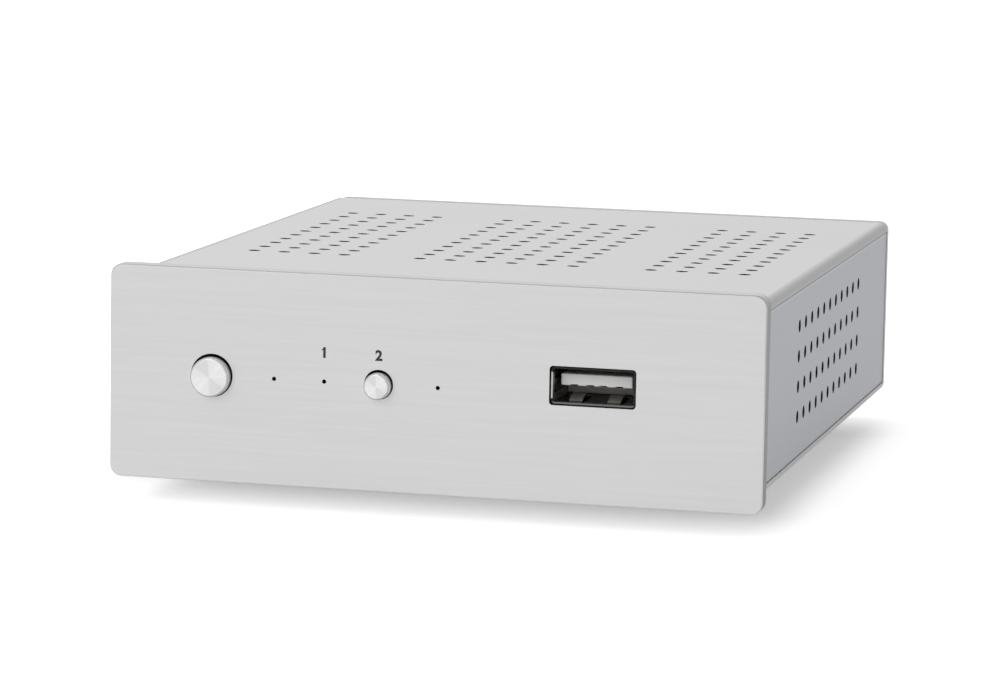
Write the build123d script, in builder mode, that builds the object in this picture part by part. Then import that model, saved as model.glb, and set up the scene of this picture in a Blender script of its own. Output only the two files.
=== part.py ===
"""Compact network music streamer, in millimetres.

X runs to the right as seen from the front, Y from the front panel to the back, Z up.
The origin is on the shelf, under the middle of the whole object.
"""
from build123d import *
import os

os.makedirs("parts", exist_ok=True)

# Front panel
panel_height = 33.2
panel_thickness = 3.0
panel_corner_radius = 1.8
panel_bevel = 0.25
panel_lift = 3.8  # lower edge of the panel above the shelf

# Case
body_depth = 122.0  # front face of the panel to the outer face of the rear panel
case_width = 100.0
panel_overhang = 1.5  # the panel stands out past the case on each side
case_height = 30.0
case_sink = 0.3  # middle of the case below the buttons' axis
cover_thickness = 1.6
cover_edge_radius = 1.5
side_wall = 1.6
side_setback = 0.3  # the side walls stand inside the edges of the covers
seam_bevel = 0.15
rear_panel_thickness = 1.5
inner_plate_thickness = 1.2
plate_clearance = 0.1
overrun = 1.0  # how far a cutting tool runs past the face it enters or leaves

# Screw bosses and board slots of the side rails
boss_width = 6.5
boss_height = 5.5
dovetail_neck = 2.4
dovetail_flare = 0.4
dovetail_height = 1.2
dovetail_clearance = 0.1
channel_radius = 1.25
channel_wall = 0.7
channel_slot = 1.2
board_slot_depth = 2.0
board_slot_lip = 1.0
board_slot_clearance = 0.15

# Vent holes, drawn six-sided to keep their facets few, as small hidden round forms are eight-sided
vent_diameter = 2.0
vent_across_share = 0.0506  # pitch across the case, of its width
vent_along_share = 0.04713  # pitch along the case, of its depth
vent_up_share = 0.161  # pitch up the sides, of the case's height
vent_sides = 6
small_sides = 8
hex_sides = 6
vent_rows_along = 11
vent_rows_up = 4
inner_columns = 6
outer_columns = 4
column_gap_share = 2.5  # gap between two groups of columns, in pitches
top_vent_share = 0.3197  # front face of the panel to the first row in the top, of the depth
side_vent_share = 0.3029  # the same for the sides
side_vent_closeness = 0.957  # rows in the sides lie a little closer than those in the top

# Buttons and lamps
button_protrusion = 1.5
button_gap = 0.35
button_bevel = 0.3
button_travel = 0.5
power_share = -0.34  # places across the panel are shares of its width, from its middle
power_head_radius = 3.0
source_share = -0.0811
source_head_radius = 2.0
flange_margin = 1.0
flange_thickness = 1.0
flange_clearance = 0.05
stem_radius = 1.2
lamp_shares = (-0.2427, -0.165, 0.0097)
lamp_names = ("power_led", "input_1_led", "input_2_led")
lamp_hole_radius = 0.33
lamp_window_radius = 0.8
lamp_radius = 1.5
lamp_length = 4.2
lamp_bevel = 0.5
lamp_gap = 0.5
lamp_spacer_width = 3.4

# Tactile switches
switch_width = 6.0
switch_height = 4.0
plunger_radius = 1.7
plunger_reach = 1.5
plunger_root = 1.2
plunger_clearance = 0.05
plunger_room = 0.5

# Boards
board_thickness = 1.6
control_board_margin = 0.4
control_board_end_gap = 1.5
main_board_gap = 0.5
main_board_side_clearance = 0.2
main_board_rear_gap = 0.9
spacer_inset = 3.6  # from the rails' bosses to the spacers' axes
spacer_rise_share = 0.3  # above the buttons' axis, of the case's height
spacer_width = 5.0
header_x = -8.0
header_length = 25.4
header_depth = 6.0
header_height = 2.5

# Screws
screw_head_radius = 2.3
screw_head_height = 1.5
screw_shank_radius = 1.2
screw_length = 7.0
screw_clearance = 0.25
screw_fit = 0.05
screw_drive_radius = 0.9
screw_drive_depth = 0.9
countersunk_head_radius = 2.1
countersunk_head_height = 0.9
countersunk_land = 0.1
panel_screw_share = 0.27
panel_screw_rise_share = 0.33  # above and below the buttons' axis, of the case's height
panel_screw_depth = 2.2
panel_screw_tip_gap = 0.2
board_screw_length = 6.0

# USB-A sockets
usb_shell_width = 13.1
usb_shell_height = 5.7
usb_shell_wall = 0.3
usb_corner_bevel = 0.4
usb_cut_radius = 0.5
usb_depth = 13.7
usb_fit = 0.05
usb_tongue_width = 11.1
usb_tongue_thickness = 1.84
usb_tongue_rise = 0.63
usb_tongue_setback = 2.4
usb_block_depth = 4.0
usb_contact_width = 1.0
usb_contact_thickness = 0.2
usb_contact_setback = 2.7
usb_contact_length = 6.8
usb_contact_xs = (-3.5, -1.0, 1.0, 3.5)
usb_finger_x = 2.95
usb_finger_width = 2.0
usb_finger_start = 1.2
usb_finger_run = 3.2
usb_finger_lift = 0.9
usb_finger_thickness = 0.3
front_usb_share = 0.2437
front_usb_rise = 1.4
front_usb_recess = 0.4
front_usb_clearance = 0.15
inner_plate_usb_clearance = 0.3

# Rear sockets, placed by shares of the room between the side walls, from the middle
socket_protrusion = 0.5
socket_clearance = 0.2
rear_usb_shares = (-0.22, 0.13)

network_share = 0.515
network_width = 16.0
network_height = 13.4
network_depth = 16.0
network_wall = 0.3
network_fit = 0.05
network_face_recess = 0.2
plug_cavity_width = 11.9
plug_cavity_height = 6.8
plug_cavity_rise = 0.6
plug_cavity_depth = 12.5
latch_width = 6.2
latch_drop = 2.2
network_contacts = 8
network_contact_pitch = 1.02
network_contact_width = 0.45
network_contact_thickness = 0.3
network_contact_start = 1.5
network_contact_run = 8.0
network_contact_drop = 1.5

pc_share = -0.555
pc_width = 12.0
pc_height = 10.8
pc_depth = 16.0
pc_wall = 0.4
pc_opening_width = 8.45
pc_opening_height = 7.3
pc_opening_bevel = 1.6
pc_cavity_depth = 9.0
pc_post_width = 5.6
pc_post_height = 3.2
pc_post_setback = 1.0
pc_contact_width = 1.0
pc_contact_thickness = 0.2
pc_contact_x = 1.25
pc_contact_setback = 2.0
pc_contact_length = 6.0

dc_share = -0.84
dc_width = 9.0
dc_height = 10.8
dc_depth = 14.0
dc_top_bevel = 1.2
dc_bore_radius = 3.15
dc_bore_depth = 9.5
dc_pin_radius = 1.05
dc_pin_setback = 1.0

aerial_share = 0.84
aerial_rise = 5.7  # axis above the main board
aerial_block_width = 7.0
aerial_block_depth = 6.0
aerial_protrusion = 9.0
aerial_thread_radius = 3.175
aerial_seat_relief = 0.05
aerial_tip_bevel = 0.4
aerial_bore_radius = 2.3
aerial_bore_depth = 8.0
aerial_insulator_fit = 0.03
aerial_insulator_recess = 1.2
aerial_hole_clearance = 0.125
nut_width = 8.0
nut_thickness = 2.0
nut_clearance = 0.05

# Processor module: shares along the main board run from its front edge to a piece's middle
module_x = 4.0
module_share = 0.4255
module_length = 55.0
module_width = 40.0
module_thickness = 1.2
connector_length = 25.0
connector_width = 4.0
connector_height = 4.0
connector_spread = 32.0
processor_width = 15.0
processor_height = 1.6
memory_length = 10.0
memory_width = 12.0
memory_height = 1.0
memory_x = 17.0
sink_length = 30.0
sink_width = 30.0
sink_base = 2.0
sink_gap = 3.9  # between the fins' tips and the top cover
sink_fins = 9
sink_fin_thickness = 1.2

# Other parts on the main board
wifi_inset = 12.1  # from the side wall to its middle
wifi_share = 0.696
wifi_length = 12.0
wifi_width = 16.0
wifi_height = 2.4
wifi_bevel = 0.4
bridge_x = 8.0
bridge_share = 0.75
bridge_width = 14.0
bridge_height = 1.4
bridge_bevel = 0.3
clock_x = -12.0
clock_pitch = 9.0
clock_share = 0.745
clock_length = 7.0
clock_width = 5.0
clock_height = 1.8
capacitor_inset = 10.1
capacitor_start_share = 0.16  # front edge of the board to the first capacitor's edge
capacitor_gap_share = 0.04
capacitor_count = 3
capacitor_radius = 4.0
capacitor_height = 11.5
capacitor_sides = 12
inductor_inset = 12.1
inductor_start_share = 0.08  # last capacitor to the first inductor
inductor_gap_share = 0.03
inductor_count = 2
inductor_width = 7.5
inductor_height = 4.0
inductor_bevel = 1.2

# Feet
foot_radius = 4.5
foot_sides = 16
foot_share = 0.36  # across, of the case's width
foot_depth_shares = (0.246, 0.852)  # along, of the depth

# Main levels and faces
panel_width = case_width + 2 * panel_overhang
front_y = -(body_depth + aerial_protrusion - button_protrusion) / 2
panel_back_y = front_y + panel_thickness
inner_plate_back_y = panel_back_y + inner_plate_thickness
rear_y = front_y + body_depth
rear_inner_y = rear_y - rear_panel_thickness
control_z = panel_lift + panel_height / 2
case_middle_z = control_z - case_sink
case_bottom_z = case_middle_z - case_height / 2
case_top_z = case_middle_z + case_height / 2
floor_z = case_bottom_z + cover_thickness
ceiling_z = case_top_z - cover_thickness
wall_outer_x = case_width / 2 - side_setback
wall_inner_x = wall_outer_x - side_wall
boss_inner_x = wall_inner_x - boss_width
boss_x = wall_inner_x - boss_width / 2
case_length = rear_inner_y - panel_back_y
rail_length = rear_inner_y - inner_plate_back_y

power_x = power_share * panel_width
source_x = source_share * panel_width
lamp_xs = [share * panel_width for share in lamp_shares]
panel_screw_x = panel_screw_share * panel_width
front_usb_x = front_usb_share * panel_width
spacer_x = boss_inner_x - spacer_inset
dc_x = dc_share * wall_inner_x
pc_x = pc_share * wall_inner_x
rear_usb_xs = [share * wall_inner_x for share in rear_usb_shares]
network_x = network_share * wall_inner_x
aerial_x = aerial_share * wall_inner_x
vent_pitch_across = vent_across_share * case_width
vent_pitch_along = vent_along_share * body_depth
vent_pitch_up = vent_up_share * case_height

groove_height = dovetail_height + dovetail_clearance
channel_rise = groove_height + channel_wall + channel_radius
main_board_z = floor_z + boss_height
board_top_z = main_board_z + board_thickness

front_usb_z = control_z + front_usb_rise
front_usb_y = front_y + front_usb_recess
control_board_y = front_usb_y + usb_depth
control_board_back_y = control_board_y + board_thickness
main_board_y = control_board_back_y + main_board_gap
main_board_length = rear_inner_y - main_board_rear_gap - main_board_y
socket_y = rear_y + socket_protrusion

channel_points = [
    (side * boss_x, level)
    for side in (-1, 1)
    for level in (floor_z + channel_rise, ceiling_z - channel_rise)
]
panel_screw_rise = panel_screw_rise_share * case_height
panel_screw_points = [
    (side * panel_screw_x, control_z + lift * panel_screw_rise) for side in (-1, 1) for lift in (-1, 1)
]
spacer_points = [(side * spacer_x, control_z + spacer_rise_share * case_height) for side in (-1, 1)]


def facing_front(y):
    """A plane across the object at y: its x is X, its y is Z, and it looks to the front."""
    return Plane.XZ.offset(-y)


def save(piece, label):
    """Name a finished piece and write it to its file."""
    piece.part.label = label
    export_step(piece.part, f"parts/{label}.step")


def small_rod(radius):
    """The section of a small hidden pin, screw or other round solid."""
    RegularPolygon(radius, small_sides)


def small_hole(radius):
    """The section of a small hidden hole, which leaves a circle of the given radius clear."""
    RegularPolygon(radius, small_sides, major_radius=False)


def countersunk_heads(radius):
    """The four countersunk heads in the inner front plate, or the hollows that take them."""
    with BuildPart() as heads:
        with BuildSketch(facing_front(panel_back_y)):
            with Locations(*channel_points):
                small_rod(radius)
        extrude(amount=-countersunk_head_height)
        chamfer(
            heads.faces().group_by(Axis.Y)[-1].edges(),
            countersunk_head_height - countersunk_land,
        )
    return heads.part


def dovetail(x, root_z, height, neck, direction):
    """The section of a dovetail rib or groove that grows from root_z, up or down."""
    foot = neck + 2 * dovetail_flare
    tip_z = root_z + direction * height
    return [
        (x - neck / 2, root_z),
        (x + neck / 2, root_z),
        (x + foot / 2, tip_z),
        (x - foot / 2, tip_z),
    ]


def push_button(x, head_radius, stem_end_y):
    """A button with a bevelled round head, a retaining flange and a stem."""
    head_y = front_y - button_protrusion
    flange_y = inner_plate_back_y + flange_clearance
    with BuildPart() as button:
        with BuildSketch(facing_front(head_y)):
            with Locations((x, control_z)):
                Circle(head_radius)
        extrude(amount=-(flange_y - head_y))
        chamfer(button.faces().sort_by(Axis.Y)[0].edges(), button_bevel)
        with BuildSketch(facing_front(flange_y)):
            with Locations((x, control_z)):
                small_rod(head_radius + flange_margin)
        extrude(amount=-flange_thickness)
        with BuildSketch(facing_front(flange_y + flange_thickness)):
            with Locations((x, control_z)):
                small_rod(stem_radius)
        extrude(amount=-(stem_end_y - flange_y - flange_thickness))
    return button


def switch_plunger(x, tip_y, root_y):
    """The round plunger of a tactile switch."""
    with BuildPart() as plunger:
        with BuildSketch(facing_front(tip_y)):
            with Locations((x, control_z)):
                small_rod(plunger_radius)
        extrude(amount=-(root_y - tip_y))
    return plunger


def switch_body(x, face_y, bore_depth):
    """The square body of a tactile switch, bored for its plunger."""
    with BuildPart() as body:
        with BuildSketch(facing_front(face_y)):
            with Locations((x, control_z)):
                Rectangle(switch_width, switch_width)
        extrude(amount=-switch_height)
        with BuildSketch(facing_front(face_y)):
            with Locations((x, control_z)):
                small_hole(plunger_radius + plunger_clearance)
        extrude(amount=-bore_depth, mode=Mode.SUBTRACT)
    return body


def usb_shell(mouth):
    """Folded sheet shell of a USB-A socket, with the two spring fingers in its floor."""
    floor = -usb_shell_height / 2 + usb_shell_wall
    with BuildPart() as shell:
        with BuildSketch(mouth) as outline:
            Rectangle(usb_shell_width, usb_shell_height)
            chamfer(outline.vertices(), usb_corner_bevel)
            offset(amount=-usb_shell_wall, kind=Kind.INTERSECTION, mode=Mode.SUBTRACT)
        extrude(amount=-usb_depth)
        for side in (-1, 1):
            section = Plane(mouth.origin, x_dir=-mouth.z_dir, z_dir=mouth.x_dir)
            with BuildSketch(section.offset(side * usb_finger_x)):
                Polygon(
                    (usb_finger_start, floor),
                    (usb_finger_start + usb_finger_run, floor + usb_finger_lift),
                    (usb_finger_start + usb_finger_run, floor + usb_finger_lift - usb_finger_thickness),
                    (usb_finger_start + usb_finger_thickness, floor - usb_shell_wall / 2),
                    (usb_finger_start, floor - usb_shell_wall / 2),
                    align=None,
                )
            extrude(amount=usb_finger_width / 2, both=True)
    return shell


def usb_insulator(mouth):
    """Moulded block of a USB-A socket, with the tongue that carries the contacts."""
    with BuildPart() as insulator:
        with BuildSketch(mouth.offset(-usb_tongue_setback)):
            with Locations((0, usb_tongue_rise)):
                Rectangle(usb_tongue_width, usb_tongue_thickness)
        extrude(amount=-(usb_depth - usb_tongue_setback))
        with BuildSketch(mouth.offset(-(usb_depth - usb_block_depth))) as outline:
            Rectangle(usb_shell_width, usb_shell_height)
            chamfer(outline.vertices(), usb_corner_bevel)
            offset(amount=-(usb_shell_wall + usb_fit), kind=Kind.INTERSECTION, mode=Mode.REPLACE)
        extrude(amount=-usb_block_depth)
    return insulator


def usb_contacts(mouth):
    """The four contacts under the tongue of a USB-A socket."""
    contact_y = usb_tongue_rise - usb_tongue_thickness / 2 - usb_contact_thickness / 2
    with BuildPart() as contacts:
        with BuildSketch(mouth.offset(-usb_contact_setback)):
            with Locations(*[(x, contact_y) for x in usb_contact_xs]):
                Rectangle(usb_contact_width, usb_contact_thickness)
        extrude(amount=-usb_contact_length)
    return contacts


def board_blocks(length, width, height, level, places, bevel=0):
    """Rectangular parts soldered on a board, with their top edges bevelled if asked."""
    with BuildPart() as blocks:
        with BuildSketch(Plane.XY.offset(level)):
            with Locations(*places):
                Rectangle(length, width)
        extrude(amount=height)
        if bevel:
            chamfer(blocks.faces().group_by(Axis.Z)[-1].edges(), bevel)
    return blocks


# Front panel: a brushed plate with rounded corners and a fine bevel round its face
with BuildPart() as front_panel:
    with BuildSketch(facing_front(front_y)):
        with Locations((0, control_z)):
            RectangleRounded(panel_width, panel_height, panel_corner_radius)
    extrude(amount=-panel_thickness)
    chamfer(front_panel.faces().sort_by(Axis.Y)[0].edges(), panel_bevel)
    with BuildSketch(facing_front(front_y - overrun)):
        with Locations((power_x, control_z)):
            Circle(power_head_radius + button_gap)
        with Locations((source_x, control_z)):
            Circle(source_head_radius + button_gap)
        with Locations(*[(x, control_z) for x in lamp_xs]):
            small_hole(lamp_hole_radius)
        with Locations((front_usb_x, front_usb_z)):
            RectangleRounded(
                usb_shell_width + 2 * front_usb_clearance,
                usb_shell_height + 2 * front_usb_clearance,
                usb_cut_radius,
            )
    extrude(amount=-(panel_thickness + 2 * overrun), mode=Mode.SUBTRACT)
    with BuildSketch(facing_front(panel_back_y)):
        with Locations(*panel_screw_points):
            small_hole(screw_shank_radius + screw_fit)
    extrude(amount=panel_screw_depth, mode=Mode.SUBTRACT)
save(front_panel, "front_panel")

# Inner front plate: screwed to the rails, it carries the front panel and the control board
with BuildPart() as inner_front_plate:
    with BuildSketch(facing_front(panel_back_y)):
        with Locations((0, case_middle_z)):
            Rectangle(2 * (wall_inner_x - plate_clearance), ceiling_z - floor_z - 2 * plate_clearance)
    extrude(amount=-inner_plate_thickness)
    with BuildSketch(facing_front(panel_back_y - overrun)):
        with Locations((power_x, control_z)):
            small_hole(power_head_radius + button_gap)
        with Locations((source_x, control_z)):
            small_hole(source_head_radius + button_gap)
        with Locations(*[(x, control_z) for x in lamp_xs]):
            small_hole(lamp_window_radius)
        with Locations(*panel_screw_points, *channel_points):
            small_hole(screw_shank_radius + screw_clearance)
        with Locations((front_usb_x, front_usb_z)):
            Rectangle(
                usb_shell_width + 2 * inner_plate_usb_clearance,
                usb_shell_height + 2 * inner_plate_usb_clearance,
            )
    extrude(amount=-(inner_plate_thickness + 2 * overrun), mode=Mode.SUBTRACT)
    add(countersunk_heads(countersunk_head_radius + plate_clearance), mode=Mode.SUBTRACT)
save(inner_front_plate, "inner_front_plate")

# Rear panel: covers the open end of the case, with a cut-out for each socket
with BuildPart() as rear_panel:
    with BuildSketch(facing_front(rear_inner_y)):
        with Locations((0, case_middle_z)):
            RectangleRounded(case_width, case_height, cover_edge_radius)
    extrude(amount=-rear_panel_thickness)
    with BuildSketch(facing_front(rear_inner_y - overrun)):
        with Locations(*channel_points):
            small_hole(screw_shank_radius + screw_clearance)
        with Locations((aerial_x, board_top_z + aerial_rise)):
            small_hole(aerial_thread_radius + aerial_seat_relief + aerial_hole_clearance)
        with Locations((network_x, board_top_z + network_height / 2)):
            Rectangle(network_width + 2 * socket_clearance, network_height + 2 * socket_clearance)
        with Locations(*[(x, board_top_z + usb_shell_height / 2) for x in rear_usb_xs]):
            Rectangle(usb_shell_width + 2 * socket_clearance, usb_shell_height + 2 * socket_clearance)
        with Locations((pc_x, board_top_z + pc_height / 2)):
            Rectangle(pc_width + 2 * socket_clearance, pc_height + 2 * socket_clearance)
        with Locations((dc_x, board_top_z + dc_height / 2)):
            Rectangle(dc_width + 2 * socket_clearance, dc_height + 2 * socket_clearance)
    extrude(amount=-(rear_panel_thickness + 2 * overrun), mode=Mode.SUBTRACT)
save(rear_panel, "rear_panel")

# Top cover: rounded long edges, vent holes, and a dovetail rib for each rail
inner_pitches = [index - (inner_columns - 1) / 2 for index in range(inner_columns)]
outer_pitches = [inner_pitches[-1] + column_gap_share + index for index in range(outer_columns)]
vent_columns = [-pitch for pitch in outer_pitches] + inner_pitches + outer_pitches
first_vent_row_y = front_y + top_vent_share * body_depth
vent_row_ys = [first_vent_row_y + index * vent_pitch_along for index in range(vent_rows_along)]
with BuildPart() as top_cover:
    with BuildSketch(facing_front(panel_back_y)) as top_section:
        with Locations((0, ceiling_z + cover_thickness / 2)):
            Rectangle(case_width, cover_thickness)
        fillet(top_section.vertices().group_by(Axis.Y)[-1], cover_edge_radius)
    extrude(amount=-case_length)
    with BuildSketch(facing_front(inner_plate_back_y)):
        for side in (-1, 1):
            Polygon(*dovetail(side * boss_x, ceiling_z, dovetail_height, dovetail_neck, -1), align=None)
    extrude(amount=-rail_length)
    with BuildSketch(Plane.XY.offset(case_top_z + overrun)):
        with Locations(*[(column * vent_pitch_across, y) for column in vent_columns for y in vent_row_ys]):
            RegularPolygon(vent_diameter / 2, vent_sides, major_radius=False)
    extrude(amount=-(cover_thickness + 2 * overrun), mode=Mode.SUBTRACT)
save(top_cover, "top_cover")

# Bottom cover: the same section turned over, without vents
with BuildPart() as bottom_cover:
    with BuildSketch(facing_front(panel_back_y)) as bottom_section:
        with Locations((0, floor_z - cover_thickness / 2)):
            Rectangle(case_width, cover_thickness)
        fillet(bottom_section.vertices().group_by(Axis.Y)[0], cover_edge_radius)
    extrude(amount=-case_length)
    with BuildSketch(facing_front(inner_plate_back_y)):
        for side in (-1, 1):
            Polygon(*dovetail(side * boss_x, floor_z, dovetail_height, dovetail_neck, 1), align=None)
    extrude(amount=-rail_length)
save(bottom_cover, "bottom_cover")

# Side rails: extruded walls with screw channels, dovetail grooves and a slot for the main board
wall_plane = Plane((wall_outer_x, 0, 0), x_dir=(0, 1, 0), z_dir=(1, 0, 0))
side_vent_start_y = front_y + side_vent_share * body_depth
side_vent_pitch_along = side_vent_closeness * vent_pitch_along
side_vent_middle_y = side_vent_start_y + (vent_rows_along - 1) * side_vent_pitch_along / 2
groove_neck = dovetail_neck + 2 * dovetail_clearance
with BuildPart() as right_side_rail:
    with BuildSketch(facing_front(panel_back_y)) as wall_section:
        with Locations((wall_outer_x - side_wall / 2, case_middle_z)):
            Rectangle(side_wall, ceiling_z - floor_z)
        chamfer(wall_section.vertices().group_by(Axis.X)[-1], seam_bevel)
    extrude(amount=-case_length)
    with BuildSketch(facing_front(inner_plate_back_y)):
        for root_z, direction in ((floor_z, 1), (ceiling_z, -1)):
            channel_z = root_z + direction * channel_rise
            with Locations((boss_x, root_z + direction * boss_height / 2)):
                Rectangle(boss_width, boss_height)
            Polygon(
                *dovetail(boss_x, root_z, groove_height, groove_neck, direction),
                align=None,
                mode=Mode.SUBTRACT,
            )
            with Locations((boss_x, channel_z)):
                RegularPolygon(channel_radius, small_sides, major_radius=False, mode=Mode.SUBTRACT)
            with Locations((boss_x - boss_width / 2, channel_z)):
                Rectangle(boss_width, channel_slot, mode=Mode.SUBTRACT)
        with Locations((wall_inner_x, board_top_z + board_slot_clearance)):
            Rectangle(board_slot_depth, board_slot_lip, align=(Align.MAX, Align.MIN))
    extrude(amount=-rail_length)
    with BuildSketch(wall_plane.offset(overrun)):
        with Locations((side_vent_middle_y, control_z)):
            with GridLocations(side_vent_pitch_along, vent_pitch_up, vent_rows_along, vent_rows_up):
                RegularPolygon(vent_diameter / 2, vent_sides, major_radius=False)
    extrude(amount=-(side_wall + 2 * overrun), mode=Mode.SUBTRACT)
save(right_side_rail, "right_side_rail")

with BuildPart() as left_side_rail:
    mirror(right_side_rail.part, about=Plane.YZ)
save(left_side_rail, "left_side_rail")

# Feet
with BuildPart() as rubber_feet:
    with BuildSketch(Plane.XY):
        for share in foot_depth_shares:
            foot_y = front_y + share * body_depth
            with Locations(*[(side * foot_share * case_width, foot_y) for side in (-1, 1)]):
                RegularPolygon(foot_radius, foot_sides)
    extrude(amount=case_bottom_z)
save(rubber_feet, "rubber_feet")

# Screws: countersunk ones under the front panel, pan heads on the rear panel
with BuildPart() as front_plate_screws:
    add(countersunk_heads(countersunk_head_radius))
    with BuildSketch(facing_front(panel_back_y)):
        with Locations(*channel_points):
            small_rod(screw_shank_radius)
    extrude(amount=-screw_length)
save(front_plate_screws, "front_plate_screws")

with BuildPart() as rear_panel_screws:
    with BuildSketch(facing_front(rear_y)):
        with Locations(*channel_points):
            small_rod(screw_head_radius)
    extrude(amount=-screw_head_height)
    with BuildSketch(facing_front(rear_y + screw_head_height)):
        with Locations(*channel_points):
            RegularPolygon(screw_drive_radius, hex_sides)
    extrude(amount=screw_drive_depth, mode=Mode.SUBTRACT)
    with BuildSketch(facing_front(rear_y)):
        with Locations(*channel_points):
            small_rod(screw_shank_radius)
    extrude(amount=screw_length)
save(rear_panel_screws, "rear_panel_screws")

with BuildPart() as panel_screws:
    with BuildSketch(facing_front(inner_plate_back_y)):
        with Locations(*panel_screw_points):
            small_rod(screw_head_radius)
    extrude(amount=-screw_head_height)
    with BuildSketch(facing_front(inner_plate_back_y)):
        with Locations(*panel_screw_points):
            small_rod(screw_shank_radius)
    extrude(amount=inner_plate_thickness + panel_screw_depth - panel_screw_tip_gap)
save(panel_screws, "panel_screws")

# Push buttons, with the switches that they press
switch_face_y = control_board_y - switch_height
plunger_tip_y = switch_face_y - plunger_reach
plunger_root_y = switch_face_y + plunger_root
switch_bore = plunger_root + button_travel + plunger_room
for name, x, head_radius in (
    ("power", power_x, power_head_radius),
    ("source", source_x, source_head_radius),
):
    save(push_button(x, head_radius, plunger_tip_y), f"{name}_button")
    save(switch_plunger(x, plunger_tip_y, plunger_root_y), f"{name}_switch_plunger")
    save(switch_body(x, switch_face_y, switch_bore), f"{name}_switch_body")

# Lamps on their spacers
lamp_tip_y = inner_plate_back_y + lamp_gap
lamp_foot_y = lamp_tip_y + lamp_length
for name, x in zip(lamp_names, lamp_xs):
    with BuildPart() as lamp:
        with BuildSketch(facing_front(lamp_tip_y)):
            with Locations((x, control_z)):
                small_rod(lamp_radius)
        extrude(amount=-lamp_length)
        chamfer(lamp.faces().sort_by(Axis.Y)[0].edges(), lamp_bevel)
    save(lamp, name)

with BuildPart() as lamp_spacers:
    with BuildSketch(facing_front(lamp_foot_y)):
        with Locations(*[(x, control_z) for x in lamp_xs]):
            Rectangle(lamp_spacer_width, lamp_spacer_width)
    extrude(amount=-(control_board_y - lamp_foot_y))
save(lamp_spacers, "lamp_spacers")

# Control board, held off the inner plate by two hexagonal spacers
with BuildPart() as control_board:
    with BuildSketch(facing_front(control_board_y)):
        with Locations((0, case_middle_z)):
            Rectangle(
                2 * (boss_inner_x - control_board_margin),
                ceiling_z - floor_z - 2 * control_board_end_gap,
            )
        with Locations(*spacer_points):
            RegularPolygon(
                screw_shank_radius + screw_clearance, small_sides, major_radius=False, mode=Mode.SUBTRACT
            )
    extrude(amount=-board_thickness)
save(control_board, "control_board")

with BuildPart() as control_board_spacers:
    with BuildSketch(facing_front(inner_plate_back_y)):
        with Locations(*spacer_points):
            RegularPolygon(spacer_width / 2, hex_sides, major_radius=False)
    extrude(amount=-(control_board_y - inner_plate_back_y))
    with BuildSketch(facing_front(control_board_y)):
        with Locations(*spacer_points):
            small_hole(screw_shank_radius + screw_fit)
    extrude(amount=board_screw_length, mode=Mode.SUBTRACT)
save(control_board_spacers, "control_board_spacers")

with BuildPart() as control_board_screws:
    with BuildSketch(facing_front(control_board_back_y)):
        with Locations(*spacer_points):
            small_rod(screw_head_radius)
    extrude(amount=-screw_head_height)
    with BuildSketch(facing_front(control_board_back_y)):
        with Locations(*spacer_points):
            small_rod(screw_shank_radius)
    extrude(amount=board_screw_length)
save(control_board_screws, "control_board_screws")

# Front USB socket, upright on the control board
front_mouth = Plane((front_usb_x, front_usb_y, front_usb_z), x_dir=(1, 0, 0), z_dir=(0, -1, 0))
save(usb_shell(front_mouth), "front_usb_shell")
save(usb_insulator(front_mouth), "front_usb_insulator")
save(usb_contacts(front_mouth), "front_usb_contacts")

# Rear USB sockets, flat on the main board
for number, x in enumerate(rear_usb_xs, 1):
    rear_mouth = Plane((x, socket_y, board_top_z + usb_shell_height / 2), x_dir=(-1, 0, 0), z_dir=(0, 1, 0))
    save(usb_shell(rear_mouth), f"rear_usb_{number}_shell")
    save(usb_insulator(rear_mouth), f"rear_usb_{number}_insulator")
    save(usb_contacts(rear_mouth), f"rear_usb_{number}_contacts")

# Main board, in the slots of the rails, with the header that joins the control board
with BuildPart() as main_board:
    with BuildSketch(Plane.XY.offset(main_board_z)):
        with Locations((0, main_board_y + main_board_length / 2)):
            Rectangle(2 * (wall_inner_x - main_board_side_clearance), main_board_length)
    extrude(amount=board_thickness)
save(main_board, "main_board")

header_middle_y = control_board_back_y + header_depth / 2
save(
    board_blocks(header_length, header_depth, header_height, board_top_z, [(header_x, header_middle_y)]),
    "board_header",
)

# Network socket: a shield round a moulded body with the plug's cavity and eight contacts
network_mouth = Plane(
    (network_x, socket_y, board_top_z + network_height / 2), x_dir=(-1, 0, 0), z_dir=(0, 1, 0)
)
with BuildPart() as network_socket_shield:
    with BuildSketch(network_mouth):
        Rectangle(network_width, network_height)
    extrude(amount=-network_depth)
    with BuildSketch(network_mouth):
        Rectangle(network_width - 2 * network_wall, network_height - 2 * network_wall)
    extrude(amount=-(network_depth - network_wall), mode=Mode.SUBTRACT)
save(network_socket_shield, "network_socket_shield")

body_face = network_mouth.offset(-network_face_recess)
cavity_top = plug_cavity_rise + plug_cavity_height / 2
cavity_bottom = plug_cavity_rise - plug_cavity_height / 2
with BuildPart() as network_socket_body:
    with BuildSketch(body_face):
        Rectangle(
            network_width - 2 * network_wall - 2 * network_fit,
            network_height - 2 * network_wall - 2 * network_fit,
        )
    extrude(amount=-(network_depth - network_wall - network_face_recess))
    with BuildSketch(body_face):
        with Locations((0, plug_cavity_rise)):
            Rectangle(plug_cavity_width, plug_cavity_height)
        with Locations((0, cavity_bottom)):
            Rectangle(latch_width, 2 * latch_drop)
    extrude(amount=-plug_cavity_depth, mode=Mode.SUBTRACT)
save(network_socket_body, "network_socket_body")

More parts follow.
